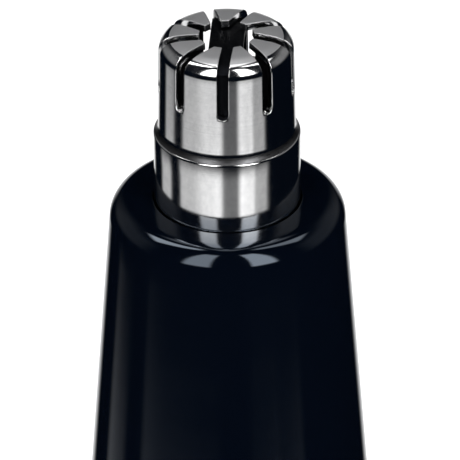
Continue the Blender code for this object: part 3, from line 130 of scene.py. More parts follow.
def make_object(name, mesh, *materials):
    """A smooth-shaded object in the scene, with its materials."""
    thing = bpy.data.objects.new(name, mesh)
    bpy.context.scene.collection.objects.link(thing)
    for material in materials:
        mesh.materials.append(material)
    return thing


def shade(thing, angle_deg=32.0):
    """Smooth shading that keeps edges sharper than the angle crisp."""
    thing.data.shade_smooth()
    thing.data.set_sharp_from_angle(angle=math.radians(angle_deg))


def arc(centre_r, centre_z, radius, start_deg, end_deg, steps):
    """Points of an arc in the turned profile's plane, both ends included."""
    points = []
    for index in range(steps + 1):
        angle = math.radians(start_deg + (end_deg - start_deg) * index / steps)
        points.append((centre_r + radius * math.cos(angle), centre_z + radius * math.sin(angle)))
    return points


def rounded(points, radius, steps=4):
    """A profile with each inner corner replaced by a small arc-like curve."""
    result = [points[0]]
    for before, corner, after in zip(points, points[1:], points[2:]):
        here = Vector(corner)
        back = Vector(before) - here
        ahead = Vector(after) - here
        reach = min(radius, 0.45 * back.length, 0.45 * ahead.length)
        if back.length < 1e-9 or ahead.length < 1e-9 or back.angle(ahead) > math.radians(160):
            result.append(corner)
            continue
        start = here + back.normalized() * reach
        end = here + ahead.normalized() * reach
        for index in range(steps + 1):
            share = index / steps
            point = start * (1 - share) ** 2 + here * 2 * share * (1 - share) + end * share ** 2
            result.append((point.x, point.y))
    result.append(points[-1])
    return result


def lathe(name, profile, steps, *materials, closed=True):
    """A turned piece. The profile runs down its outer side and up its inner side."""
    model = bmesh.new()
    rings = []
    for radius, z in profile:
        ring = []
        for index in range(steps):
            angle = TAU * index / steps
            ring.append(model.verts.new((radius * math.cos(angle), radius * math.sin(angle), z)))
        rings.append(ring)
    pairs = list(zip(rings, rings[1:]))
    if closed:
        pairs.append((rings[-1], rings[0]))
    for upper, lower in pairs:
        for index in range(steps):
            after = (index + 1) % steps
            model.faces.new((upper[index], lower[index], lower[after], upper[after]))
    bmesh.ops.remove_doubles(model, verts=model.verts, dist=1e-8)
    bmesh.ops.dissolve_degenerate(model, edges=model.edges, dist=1e-9)
    bmesh.ops.recalc_face_normals(model, faces=model.faces)
    mesh = finished_mesh(name, model)
    thing = make_object(name, mesh, *materials)
    shade(thing)
    return thing


def box_mesh(low, high):
    """A bmesh box between two corners."""
    model = bmesh.new()
    bmesh.ops.create_cube(model, size=1.0)
    size = [high[axis] - low[axis] for axis in range(3)]
    middle = [(high[axis] + low[axis]) / 2.0 for axis in range(3)]
    bmesh.ops.scale(model, vec=size, verts=model.verts)
    bmesh.ops.translate(model, vec=middle, verts=model.verts)
    return model


def rounded_box(name, low, high, radius, segments, *materials):
    """A box with rounded edges, as a mesh object."""
    model = box_mesh(low, high)
    bmesh.ops.bevel(model, geom=model.edges[:], offset=radius, segments=segments, profile=0.5,
                    affect="EDGES", clamp_overlap=True)
    mesh = finished_mesh(name, model)
    thing = make_object(name, mesh, *materials)
    shade(thing, 40.0)
    return thing


def prism(name, outline, low, high):
    """An outline in the XY plane extruded from low to high along Z, as a mesh object."""
    model = bmesh.new()
    face = model.faces.new([model.verts.new((x, y, low)) for x, y in outline])
    raised = bmesh.ops.extrude_face_region(model, geom=[face])
    tops = [item for item in raised["geom"] if isinstance(item, bmesh.types.BMVert)]
    bmesh.ops.translate(model, vec=(0.0, 0.0, high - low), verts=tops)
    bmesh.ops.recalc_face_normals(model, faces=model.faces)
    mesh = finished_mesh(name, model)
    return make_object(name, mesh)


def apply_modifiers(thing):
    """Replaces an object's mesh by its evaluated one."""
    bpy.context.view_layer.update()
    seen = bpy.context.evaluated_depsgraph_get()
    mesh = bpy.data.meshes.new_from_object(thing.evaluated_get(seen))
    thing.modifiers.clear()
    thing.data = mesh


def combine(thing, tools, operation):
    """Booleans with several tools, applied, and the tools removed."""
    for tool in tools:
        step = thing.modifiers.new("combine", "BOOLEAN")
        step.operation = operation
        step.solver = "EXACT"
        step.object = tool
    apply_modifiers(thing)
    for tool in tools:
        bpy.data.objects.remove(tool, do_unlink=True)


def soften_edges(thing, width, segments=2, angle_deg=50.0):
    """Small rounded edges, applied to the mesh."""
    edge = thing.modifiers.new("edge", "BEVEL")
    edge.width = width
    edge.segments = segments
    edge.limit_method = "ANGLE"
    edge.angle_limit = math.radians(angle_deg)
    edge.use_clamp_overlap = True
    edge.miter_outer = "MITER_ARC"
    apply_modifiers(thing)
    shade(thing)


def turn(thing, angle):
    """Turns a mesh about the trimmer's axis."""
    thing.data.transform(Matrix.Rotation(angle, 4, "Z"))


# ---------------------------------------------------------------- material helpers
class Nodes:
    """Short calls for building a node tree."""

    def __init__(self, tree):
        self.tree = tree
        self.links = tree.links

    def add(self, kind, **settings):
        node = self.tree.nodes.new(kind)
        for key, value in settings.items():
            setattr(node, key, value)
        return node

    def feed(self, socket, value):
        if isinstance(value, bpy.types.NodeSocket):
            self.links.new(value, socket)
        else:
            socket.default_value = value

    def maths(self, operation, first, second=0.0, clamp=False):
        node = self.add("ShaderNodeMath", operation=operation, use_clamp=clamp)
        self.feed(node.inputs[0], first)
        self.feed(node.inputs[1], second)
        return node.outputs[0]

    def spread(self, value, low, high, to_low, to_high, smooth=False):
        node = self.add("ShaderNodeMapRange")
        if smooth:
            node.interpolation_type = "SMOOTHSTEP"
        for socket, number in zip(node.inputs[:5], (value, low, high, to_low, to_high)):
            self.feed(socket, number)
        return node.outputs[0]

    def noise(self, vector, scale, detail=2.0, roughness=0.5):
        node = self.add("ShaderNodeTexNoise")
        self.feed(node.inputs["Vector"], vector)
        self.feed(node.inputs["Scale"], scale)
        self.feed(node.inputs["Detail"], detail)
        self.feed(node.inputs["Roughness"], roughness)
        return node.outputs[0]

    def scaled(self, vector, scale):
        node = self.add("ShaderNodeMapping")
        self.feed(node.inputs["Vector"], vector)
        node.inputs["Scale"].default_value = scale
        return node.outputs[0]

    def bump(self, height, distance, strength=1.0, normal=None):
        node = self.add("ShaderNodeBump")
        self.feed(node.inputs["Height"], height)
        node.inputs["Distance"].default_value = distance
        node.inputs["Strength"].default_value = strength
        if normal is not None:
            self.feed(node.inputs["Normal"], normal)
        return node.outputs[0]


def new_material(name, colour, roughness, metallic=0.0, **sockets):
    """A Principled material. Extra sockets are given by name with _ for a space."""
    material = bpy.data.materials.new(name)
    material.use_nodes = True
    nodes = Nodes(material.node_tree)
    shader = material.node_tree.nodes["Principled BSDF"]
    shader.inputs["Base Color"].default_value = (*colour, 1.0)
    shader.inputs["Roughness"].default_value = roughness
    shader.inputs["Metallic"].default_value = metallic
    for key, value in sockets.items():
        shader.inputs[key.replace("_", " ")].default_value = value
    place = nodes.add("ShaderNodeTexCoord").outputs["Object"]
    return material, nodes, shader, place


def mix_colours(nodes, shader, share, first, second):
    """Base colour that runs from the first to the second colour."""
    tone = nodes.add("ShaderNodeMix", data_type="RGBA")
    nodes.feed(tone.inputs["Factor"], share)
    tone.inputs["A"].default_value = (*first, 1.0)
    tone.inputs["B"].default_value = (*second, 1.0)
    nodes.feed(shader.inputs["Base Color"], tone.outputs["Result"])


def cylinder_place(nodes, place):
    """Radius, angle and height about the trimmer's axis, for turned surfaces."""
    split = nodes.add("ShaderNodeSeparateXYZ")
    nodes.feed(split.inputs[0], place)
    x, y, z = split.outputs
    radius = nodes.maths("SQRT", nodes.maths("ADD", nodes.maths("MULTIPLY", x, x),
                                             nodes.maths("MULTIPLY", y, y)))
    angle = nodes.maths("ARCTAN2", y, x)
    return radius, angle, z


def turned_grain(nodes, place, pitch, stretch):
    """Fine rings left by turning: noise that changes along the axis and radius only slowly round it."""
    radius, angle, z = cylinder_place(nodes, place)
    joined = nodes.add("ShaderNodeCombineXYZ")
    nodes.feed(joined.inputs[0], nodes.maths("MULTIPLY", radius, 1.0 / pitch))
    nodes.feed(joined.inputs[1], nodes.maths("MULTIPLY", nodes.maths("SINE", angle), stretch))
    nodes.feed(joined.inputs[2], nodes.maths("MULTIPLY", z, 1.0 / pitch))
    return nodes.noise(joined.outputs[0], 1.0, 3.0, 0.6)


def polished_steel():
    """Bright stainless steel with faint turning rings and small wear marks."""
    material, nodes, shader, place = new_material("polished_steel", (0.86, 0.86, 0.865), 0.09, 1.0)
    grain = turned_grain(nodes, place, 0.05 * MM, 0.5)
    smear = nodes.noise(nodes.scaled(place, (900, 900, 160)), 1.0, 3.0)
    rough = nodes.maths("ADD", nodes.spread(grain, 0.3, 0.7, 0.07, 0.13),
                        nodes.spread(smear, 0.4, 0.7, 0.0, 0.05))
    nodes.feed(shader.inputs["Roughness"], rough)
    mottle = nodes.noise(nodes.scaled(place, (2600, 2600, 1500)), 1.0, 4.0, 0.65)
    uneven = nodes.bump(mottle, 0.0009 * MM, 1.0)
    nodes.feed(shader.inputs["Normal"], nodes.bump(grain, 0.00015 * MM, 1.0, uneven))
    mix_colours(nodes, shader, nodes.spread(mottle, 0.35, 0.65, 0.0, 1.0),
                (0.88, 0.88, 0.885), (0.97, 0.97, 0.97))
    return material


def satin_steel():
    """The dome's flat top: fine-ground, so it is grey rather than mirror bright."""
    material, nodes, shader, place = new_material("satin_steel", (0.56, 0.56, 0.57), 0.34, 0.55)
    fine = nodes.noise(nodes.scaled(place, (9000, 9000, 9000)), 1.0, 4.0, 0.7)
    streak = nodes.noise(nodes.scaled(place, (14000, 1800, 1800)), 1.0, 3.0, 0.6)
    both = nodes.maths("ADD", nodes.maths("MULTIPLY", fine, 0.5), nodes.maths("MULTIPLY", streak, 0.5))
    nodes.feed(shader.inputs["Roughness"], nodes.spread(both, 0.35, 0.65, 0.28, 0.42))
    nodes.feed(shader.inputs["Normal"], nodes.bump(both, 0.004 * MM, 0.6))
    return material


def ground_steel(name, colour, roughness):
    """Ground or drawn steel, brass, bronze or copper, with a directional grain."""
    material, nodes, shader, place = new_material(name, colour, roughness, 1.0)
    grain = nodes.noise(nodes.scaled(place, (2500, 2500, 14000)), 1.0, 3.0, 0.6)
    nodes.feed(shader.inputs["Roughness"], nodes.spread(grain, 0.3, 0.7, roughness * 0.75, roughness * 1.3))
    nodes.feed(shader.inputs["Normal"], nodes.bump(grain, 0.003 * MM, 0.5))
    mix_colours(nodes, shader, nodes.spread(nodes.noise(place, 900.0), 0.35, 0.65, 0.0, 1.0),
                [channel * 0.88 for channel in colour], colour)
    return material


def body_gloss():
    """Piano-black moulded plastic with a slight navy cast, faint waviness and fine scratches."""
    material, nodes, shader, place = new_material("body_gloss", (0.0012, 0.0026, 0.0062), 0.07, 0.0)
    shader.inputs["IOR"].default_value = 1.6
    shader.inputs["Specular Tint"].default_value = (0.72, 0.84, 1.0, 1.0)
    scratch = nodes.noise(nodes.scaled(place, (9000, 9000, 500)), 1.0, 2.0, 0.7)
    cloud = nodes.noise(place, 220.0, 3.0)
    rough = nodes.maths("ADD", nodes.spread(cloud, 0.3, 0.7, 0.045, 0.08),
                        nodes.spread(scratch, 0.62, 0.75, 0.0, 0.05))
    nodes.feed(shader.inputs["Roughness"], rough)
    wave = nodes.noise(place, 420.0, 2.0)
    ripple = nodes.bump(wave, 0.004 * MM, 0.6)
    nodes.feed(shader.inputs["Normal"], nodes.bump(scratch, 0.0006 * MM, 0.5, ripple))
    return material


def moulded_plastic(name, colour, roughness, grain_size=0.12 * MM, grain_depth=0.004 * MM):
    """Spark-textured moulded plastic or rubber."""
    material, nodes, shader, place = new_material(name, colour, roughness)
    grain = nodes.noise(place, 1.0 / grain_size, 3.0, 0.6)
    nodes.feed(shader.inputs["Normal"], nodes.bump(grain, grain_depth, 0.8))
    rough = nodes.spread(grain, 0.3, 0.7, roughness * 0.85, min(1.0, roughness * 1.15))
    nodes.feed(shader.inputs["Roughness"], rough)
    mix_colours(nodes, shader, nodes.spread(nodes.noise(place, 400.0, 3.0), 0.35, 0.65, 0.0, 1.0),
                [channel * 0.85 for channel in colour], colour)
    return material


def wound_copper():
    """Enamelled copper wire, wound in even turns."""
    material, nodes, shader, place = new_material("wound_copper", (0.55, 0.20, 0.07), 0.28, 0.9)
    split = nodes.add("ShaderNodeSeparateXYZ")
    nodes.feed(split.inputs[0], place)
    turns = nodes.maths("ABSOLUTE", nodes.maths("SINE", nodes.maths("MULTIPLY", split.outputs[2], 14000.0)))
    nodes.feed(shader.inputs["Normal"], nodes.bump(turns, 0.05 * MM, 0.8))
    return material


def cell_sleeve():
    """Plain printed sleeve of the battery, dark blue with a copper-coloured top band."""
    material, nodes, shader, place = new_material("cell_sleeve", (0.03, 0.07, 0.2), 0.25, 0.6)
    split = nodes.add("ShaderNodeSeparateXYZ")
    nodes.feed(split.inputs[0], place)
    band = nodes.maths("GREATER_THAN", split.outputs[2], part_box("battery_cell")[1][2] - 14.0 * MM)
    mix_colours(nodes, shader, band, (0.03, 0.07, 0.2), (0.55, 0.28, 0.12))
    film = nodes.noise(place, 1500.0, 2.0)
    nodes.feed(shader.inputs["Roughness"], nodes.spread(film, 0.3, 0.7, 0.2, 0.32))
    return material


STEEL = polished_steel()
SATIN = satin_steel()
FLARE_STEEL = ground_steel("flare_steel", (0.16, 0.16, 0.165), 0.33)
# Painted shade: the guard's lining is steel coloured near-black, far darker than real steel, standing in for the
# shade inside the head.
INSIDE_STEEL_PAINTED_SHADE = ground_steel("inside_steel_painted_shade", (0.05, 0.05, 0.055), 0.45)
# Painted shade: the blade's steel is coloured almost black, far darker than real steel, so that it reads as the
# shade seen through the slots.
BLADE_STEEL_PAINTED_SHADE = ground_steel("blade_steel", (0.012, 0.013, 0.016), 0.42)
PLAIN_STEEL = ground_steel("plain_steel", (0.72, 0.72, 0.73), 0.22)
LAMINATION = ground_steel("lamination_steel", (0.24, 0.24, 0.25), 0.4)
BRASS = ground_steel("contact_brass", (0.80, 0.62, 0.30), 0.25)
BRONZE = ground_steel("sintered_bronze", (0.52, 0.33, 0.15), 0.45)
COPPER = wound_copper()
BODY = body_gloss()
MATT_BLACK = moulded_plastic("matt_black", (0.018, 0.018, 0.02), 0.5)
CHASSIS_GREY = moulded_plastic("chassis_grey", (0.12, 0.12, 0.13), 0.5)
ACETAL = moulded_plastic("white_acetal", (0.72, 0.71, 0.67), 0.42)
RUBBER = moulded_plastic("seal_rubber", (0.014, 0.014, 0.014), 0.65, 0.08 * MM, 0.003 * MM)
FERRITE = moulded_plastic("ferrite", (0.06, 0.06, 0.065), 0.6, 0.06 * MM, 0.006 * MM)
CARBON = moulded_plastic("brush_carbon", (0.03, 0.03, 0.03), 0.55, 0.05 * MM, 0.005 * MM)
INSULATION = moulded_plastic("lead_insulation", (0.02, 0.02, 0.022), 0.35)
SLEEVE = cell_sleeve()


# ---------------------------------------------------------------- cutter guard
def guard_profile():
    """Rows down the guard's outer side: (radius, z), from the hole to the ring's lower end."""
    lip = 0.06 * MM
    rows = arc(HOLE_R + lip, HEAD_TOP_Z - lip, lip, 180, 90, 4)
    tilt = math.radians(DOME_EDGE_START)
    edge_r = TUBE_R - DOME_EDGE_R
    join_r = edge_r + DOME_EDGE_R * math.sin(tilt)
    crown_centre_r = join_r - CROWN_R * math.sin(tilt)
    crown_centre_z = HEAD_TOP_Z - CROWN - CROWN_R
    edge_z = crown_centre_z + (CROWN_R - DOME_EDGE_R) * math.cos(tilt)
    crown = arc(crown_centre_r, crown_centre_z, CROWN_R, 90, 90 - DOME_EDGE_START, 8)
    flat_steps = 8
    start = rows[-1]
    for index in range(1, flat_steps):
        share = index / flat_steps
        rows.append((start[0] + (crown_centre_r - start[0]) * share, start[1] - CROWN * share ** 2))
    rows += crown
    rows += arc(edge_r, edge_z, DOME_EDGE_R, 90 - DOME_EDGE_START, 0, 16)[1:]
    heights = [edge_z + (SLOT_END_Z + SLOT_HALF - edge_z) * index / 7 for index in range(1, 8)]
    round_steps = 8
    heights += [SLOT_END_Z + SLOT_HALF * (1 - math.sin(math.pi / 2 * index / round_steps))
                for index in range(1, round_steps + 1)]
    heights += [SLOT_END_Z - SLOT_EDGE * share for share in (0.15, 0.4, 0.7, 1.0, 2.0)]
    flare_top = STEP_Z + 0.80 * MM
    heights += [SLOT_END_Z + (flare_top - SLOT_END_Z) * index / 4 for index in range(1, 5)]
    for z in heights:
        share = (edge_z - z) / (edge_z - flare_top)
        rows.append((TUBE_R + (TUBE_FOOT_R - TUBE_R) * share, z))
    flare_steps = 12
    for index in range(1, flare_steps + 1):
        share = index / flare_steps
        rise = share ** 2.2
        radius = TUBE_FOOT_R + (RING_R - 0.10 * MM - TUBE_FOOT_R) * rise
        rows.append((radius, flare_top - 0.66 * MM * share))
    rows += arc(RING_R - 0.14 * MM, STEP_Z, 0.14 * MM, 70, 0, 6)
    rows += [(RING_R, STEP_Z + (RING_BOTTOM_Z + 0.1 * MM - STEP_Z) * index / 5) for index in range(1, 6)]
    rows += [(RING_R - 0.05 * MM, RING_BOTTOM_Z)]
    return rows


def inward_rows(rows, wall):
    """The rows moved a wall's thickness into the piece, along the profile's normal."""
    moved = []
    for index, (radius, z) in enumerate(rows):
        before = rows[max(0, index - 1)]
        after = rows[min(len(rows) - 1, index + 1)]
        along = Vector((after[0] - before[0], after[1] - before[1])).normalized()
        moved.append((radius + along.y * wall, z - along.x * wall))
    return moved


def profile_normals(rows):
    """Outward direction of the profile at each row."""
    normals = []
    for index in range(len(rows)):
        before = rows[max(0, index - 1)]
        after = rows[min(len(rows) - 1, index + 1)]
        along = Vector((after[0] - before[0], after[1] - before[1])).normalized()
        normals.append(Vector((-along.y, along.x)))
    return normals


def slot_half_at(z):
    """Half the slot's width at a height, which narrows over its round end."""
    if z >= SLOT_CENTRE_Z:
        return SLOT_HALF
    depth = (SLOT_CENTRE_Z - z) / SLOT_HALF
    return SLOT_HALF * math.sqrt(max(0.0, 1.0 - depth * depth))


def from_slot(x, z):
    """Distance from the slot's edge to a point beside it."""
    if z >= SLOT_CENTRE_Z:
        return x - SLOT_HALF
    return math.hypot(x, SLOT_CENTRE_Z - z) - SLOT_HALF


def edge_drop(distance):
    """How far the surface falls where the slot's edge is rounded."""
    if distance >= SLOT_EDGE:
        return 0.0
    return SLOT_EDGE - math.sqrt(SLOT_EDGE ** 2 - (SLOT_EDGE - max(0.0, distance)) ** 2)


def make_cutter_guard():
    """The steel guard as 18 half-petals around the axis, with slots and rounded slot edges."""
    outer = guard_profile()
    inner = inward_rows(outer, GUARD_WALL)
    inner[:5] = [(HOLE_R + 0.002 * MM * index, inner[5][1]) for index in range(5)]
    edge_shares = (0.0, 0.13, 0.4, 0.7, 1.0, 1.8)
    columns = 9
    half_pitch = math.pi / SLOT_COUNT

    lean = math.asin(SLOT_OFFSET / TUBE_R)

    outward = profile_normals(outer)
    model = bmesh.new()
    open_rows = [index for index, (radius, z) in enumerate(outer) if z > SLOT_END_Z - 1e-9]
    last_open = open_rows[-1]

    def half_petal(slot_angle, side):
        """One half of the strip between two slots, on the given side of a slot."""
        skins = []
        for rows, is_outer in ((outer, True), (inner, False)):
            skin = []
            for index, (radius, z) in enumerate(rows):
                height = outer[index][1]
                start = slot_half_at(height) if index <= last_open else 0.0
                middle = math.asin(SLOT_OFFSET / radius)
                angles = []
                for share in edge_shares:
                    across = SLOT_OFFSET + side * (start + SLOT_EDGE * share)
                    angles.append(side * (math.asin(across / radius) - middle))
                low = angles[-1]
                angles += [low + (half_pitch - low) * step / columns for step in range(1, columns + 1)]
                normal = outward[index]
                line = []
                for angle in angles:
                    across = side * (radius * math.sin(middle + side * angle) - SLOT_OFFSET)
                    drop = edge_drop(from_slot(across, height)) if is_outer else 0.0
                    reach = radius - normal.x * drop
                    turned_angle = slot_angle - lean + middle + side * angle
                    line.append(model.verts.new((reach * math.cos(turned_angle), reach * math.sin(turned_angle),
                                                 z - normal.y * drop)))
                skin.append(line)
            skins.append(skin)
        faces(skins, side)

    def quad(corners, side, material_index):
        if side < 0:
            corners = corners[::-1]
        face = model.faces.new(corners)
        face.material_index = material_index
        face.smooth = True

    def zone(index):
        """Material slot of a row of the outer skin: satin top, blasted flare, or polished steel."""
        radius, z = outer[index + 1]
        if z > STEP_Z and radius <= satin_r:
            return 1
        return 3 if TUBE_FOOT_R + FLARE_MARGIN < radius < RING_R - 2.0 * FLARE_MARGIN and z > STEP_Z else 0

    def faces(skins, side):
        shell, lining = skins
        for index in range(len(outer) - 1):
            top_zone = zone(index)
            for column in range(len(shell[0]) - 1):
                quad((shell[index][column], shell[index + 1][column], shell[index + 1][column + 1],
                      shell[index][column + 1]), side, top_zone)
                # The lining takes slot 2, the near-black steel that paints the shade inside the guard.
                quad((lining[index][column + 1], lining[index + 1][column + 1], lining[index + 1][column],
                      lining[index][column]), side, 2)
            if index < last_open:
                quad((lining[index][0], lining[index + 1][0], shell[index + 1][0], shell[index][0]), side, 0)
        for column in range(len(shell[0]) - 1):
            quad((lining[0][column + 1], lining[0][column], shell[0][column], shell[0][column + 1]), side, 0)
            quad((shell[-1][column + 1], shell[-1][column], lining[-1][column], lining[-1][column + 1]), side, 0)

    satin_r = TUBE_R - DOME_EDGE_R * (1.0 - math.sin(math.radians(DOME_EDGE_START))) - SATIN_SHORT
    for number in range(SLOT_COUNT):
        for side in (-1, 1):
            half_petal(SLOT_FIRST_ANGLE + TAU * number / SLOT_COUNT, side)
    bmesh.ops.remove_doubles(model, verts=model.verts, dist=2e-8)
    bmesh.ops.dissolve_degenerate(model, edges=model.edges, dist=1e-9)
    bmesh.ops.recalc_face_normals(model, faces=model.faces)
    mesh = finished_mesh("guard_turned", model)
    guard = make_object("guard_turned", mesh, STEEL, SATIN, INSIDE_STEEL_PAINTED_SHADE, FLARE_STEEL)
    guard.data.set_sharp_from_angle(angle=math.radians(50))
    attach(guard, "head")
    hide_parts("cutter_guard")
    return guard


# ---------------------------------------------------------------- housing
def smooth_join(start, end, start_slope, end_slope, share):
    """Radius on a smooth curve between two (z, radius) points with given slopes."""
    span = end[0] - start[0]
    a = 2 * share ** 3 - 3 * share ** 2 + 1
    b = share ** 3 - 2 * share ** 2 + share
    c = -2 * share ** 3 + 3 * share ** 2
    d = share ** 3 - share ** 2
    return a * start[1] + b * span * start_slope + c * end[1] + d * span * end_slope


def cone_radius(z):
    """Radius of the straight cone below the shoulder."""
    return SHOULDER_FLAT_R + SHOULDER_EDGE_R + (EDGE_END_Z - z) * math.tan(CONE_HALF_ANGLE)


def body_radius(z):
    """Outer radius of the housing below its rounded shoulder."""
    if z >= CONE_END_Z:
        return cone_radius(z)
    if z >= GRIP_Z:
        start = (CONE_END_Z, cone_radius(CONE_END_Z))
        share = (CONE_END_Z - z) / (CONE_END_Z - GRIP_Z)
        return smooth_join(start, (GRIP_Z, GRIP_R), -math.tan(CONE_HALF_ANGLE), 0.0, share)
    share = (GRIP_Z - z) / (GRIP_Z - MOUTH_Z)
    return smooth_join((GRIP_Z, GRIP_R), (MOUTH_Z, FOOT_R), 0.0, FOOT_SLOPE, share)


def helix_bar(name, low_r, high_r, half_width, start, end, steps):
    """A bar of rectangular section along the cap's thread."""
    model = bmesh.new()
    rings = []
    for index in range(steps + 1):
        angle = start + (end - start) * index / steps
        z = LUG_Z + THREAD_LEAD * angle / TAU
        corners = []
        for radius, rise in ((low_r, -1), (high_r, -1), (high_r, 1), (low_r, 1)):
            corners.append(model.verts.new((radius * math.cos(angle), radius * math.sin(angle),
                                            z + rise * half_width)))
        rings.append(corners)
    for first, second in zip(rings, rings[1:]):
        for side in range(4):
            after = (side + 1) % 4
            model.faces.new((first[side], first[after], second[after], second[side]))
    model.faces.new(rings[0])
    model.faces.new(rings[-1])
    bmesh.ops.recalc_face_normals(model, faces=model.faces)
    mesh = finished_mesh(name, model)
    return make_object(name, mesh)


def housing_profile():
    """Outer side down to the mouth, then the bore, bulkhead and socket up to the shoulder."""
    lip = 0.12 * MM
    outer = arc(SOCKET_R + lip, SHOULDER_Z - lip, lip, 180, 90, 5)
    outer += arc(SHOULDER_FLAT_R, EDGE_END_Z, SHOULDER_EDGE_R, 90, CONE_DEGREES, 28)
    body_steps = 60
    foot = 0.25 * MM
    for index in range(1, body_steps + 1):
        z = EDGE_END_Z + (MOUTH_Z + foot - EDGE_END_Z) * index / body_steps
        outer.append((body_radius(z), z))
    outer += arc(body_radius(MOUTH_Z) - foot, MOUTH_Z + foot, foot, 0, -90, 5)
    bore_top = CONE_END_Z
    while body_radius(bore_top) - WALL < BORE_R:
        bore_top -= 0.5 * MM
    bulkhead_z = SOCKET_FLOOR_Z - BULKHEAD_THICKNESS
    neck_r = body_radius(bulkhead_z) - WALL
    seal_low, seal_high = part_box("spindle_seal")
    bush_low, bush_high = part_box("spindle_bush")
    ring_low, ring_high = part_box("head_o_ring")
    bush_r = bush_high[0] + FIT_GAP
    seal_r = seal_high[0] + FIT_GAP
    groove_r = ring_high[0] + FIT_GAP
    inner = [(BORE_R + 0.2 * MM, MOUTH_Z), (BORE_R, MOUTH_Z + 0.2 * MM), (BORE_R, bore_top)]
    inner += [(neck_r, bulkhead_z - 1.0 * MM), (neck_r - 1.0 * MM, bulkhead_z)]
    inner += [(bush_r + 1.0 * MM, bulkhead_z), (bush_r + 1.0 * MM, bush_low[2]), (bush_r, bush_low[2])]
    inner += [(bush_r, bush_high[2] + FIT_GAP), (SPINDLE_HOLE_R, bush_high[2] + FIT_GAP)]
    inner += [(SPINDLE_HOLE_R, seal_low[2] - FIT_GAP), (seal_r, seal_low[2] - FIT_GAP)]
    inner += [(seal_r, SOCKET_FLOOR_Z), (SOCKET_R, SOCKET_FLOOR_Z), (SOCKET_R, ring_low[2] - FIT_GAP)]
    inner += [(groove_r, ring_low[2] - FIT_GAP), (groove_r, ring_high[2] + FIT_GAP)]
    inner += [(SOCKET_R, ring_high[2] + FIT_GAP)]
    return outer + inner


def make_housing():
    """The glossy body with its switch recess, stem slot and thread grooves."""
    housing = lathe("housing_shell", housing_profile(), 180, BODY)
    tools = []
    turn_to_mouth = TAU * (LUG_Z - MOUTH_Z + 2.5 * MM) / THREAD_LEAD
    for index in range(THREAD_STARTS):
        groove = helix_bar("groove_tool", BORE_R - 0.8 * MM, SPIGOT_R + THREAD_HEIGHT + THREAD_GAP,
                           LUG_HALF_WIDTH + THREAD_GAP, -turn_to_mouth, LUG_ARC / 2.0 + THREAD_GAP / BORE_R, 60)
        turn(groove, TAU * index / THREAD_STARTS)
        tools.append(groove)
    tools += switch_window_tools()
    combine(housing, tools, "DIFFERENCE")
    soften_edges(housing, 0.08 * MM, 2, 55.0)
    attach(housing, "housing")
    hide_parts("main_housing")
    return housing


def switch_window_tools():
    """Cutters for the recess that the button slides in, and for the stem's slot."""
    low_z = BUTTON_LOW[2] - 0.4 * MM
    high_z = BUTTON_HIGH[2] + SWITCH_TRAVEL + 0.4 * MM
    half = BUTTON_HIGH[0] + 0.3 * MM
    corner = 1.4 * MM
    outline = []
    for x, z, start in ((half, high_z, 0), (-half, high_z, 90), (-half, low_z, 180), (half, low_z, 270)):
        inset_x = x - math.copysign(corner, x)
        inset_z = z - corner if z == high_z else z + corner
        outline += arc(inset_x, inset_z, corner, start, start + 90, 10)
    recess = prism("recess_tool", outline, -RECESS_Y, GRIP_R + 2.0 * MM)
    recess.data.transform(Matrix.Rotation(math.radians(90.0), 4, "X"))
    middle = (BUTTON_LOW[2] + BUTTON_HIGH[2]) / 2.0
    half_slot = 1.45 * MM
    slot_low = (-half_slot, RECESS_Y - MM, middle - 2.7 * MM)
    slot_high = (half_slot, -BORE_R + 2.0 * MM, middle + 2.7 * MM + SWITCH_TRAVEL)
    slot = rounded_box("slot_tool", slot_low, slot_high, 0.3 * MM, 3)
    return [recess, slot]


# ---------------------------------------------------------------- battery cap
def make_battery_cap():
    """The screw-off cap with grip flutes, O-ring groove and thread lugs."""
    side_top = MOUTH_Z - 0.15 * MM
    cap_r = CAP_HIGH[0]
    spigot_top = CAP_HIGH[2]
    bore_r = SPIGOT_R - 1.2 * MM
    ring_low, ring_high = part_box("cap_o_ring")
    groove_r = SPIGOT_R - 0.95 * MM
    foot = 1.6 * MM
    profile = [(SPIGOT_R - 0.2 * MM, spigot_top), (SPIGOT_R, spigot_top - 0.2 * MM)]
    profile += [(SPIGOT_R, ring_high[2] + 0.1 * MM), (groove_r, ring_high[2] + 0.1 * MM)]
    profile += [(groove_r, ring_low[2] - 0.1 * MM), (SPIGOT_R, ring_low[2] - 0.1 * MM), (SPIGOT_R, side_top)]
    profile += arc(cap_r - 0.25 * MM, side_top - 0.25 * MM, 0.25 * MM, 90, 0, 5)
    profile += arc(cap_r - foot, foot, foot, 0, -90, 14)
    profile += [(0.0, 0.0), (0.0, 2.0 * MM), (bore_r, 2.0 * MM), (bore_r, spigot_top)]
    cap = lathe("cap_shell", profile, 180, BODY)
    lugs = []
    for index in range(THREAD_STARTS):
        lug = helix_bar("lug_tool", SPIGOT_R - 0.5 * MM, SPIGOT_R + THREAD_HEIGHT, LUG_HALF_WIDTH,
                        -LUG_ARC / 2.0, LUG_ARC / 2.0, 14)
        turn(lug, TAU * index / THREAD_STARTS)
        lugs.append(lug)
    combine(cap, lugs, "UNION")
    flutes = []
    for index in range(FLUTE_COUNT):
        profile = arc(0.0, side_top - 2.6 * MM, FLUTE_R, 90, 0, 8)
        profile += arc(0.0, 3.2 * MM, FLUTE_R, 0, -90, 8)
        flute = lathe("flute_tool", profile, 32, closed=False)
        flute.data.transform(Matrix.Translation((cap_r + FLUTE_R - FLUTE_DEPTH, 0.0, 0.0)))
        turn(flute, TAU * (index + 0.5) / FLUTE_COUNT)
        flutes.append(flute)
    combine(cap, flutes, "DIFFERENCE")
    soften_edges(cap, 0.06 * MM, 2, 45.0)
    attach(cap, "cap")
    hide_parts("battery_cap")
    return cap


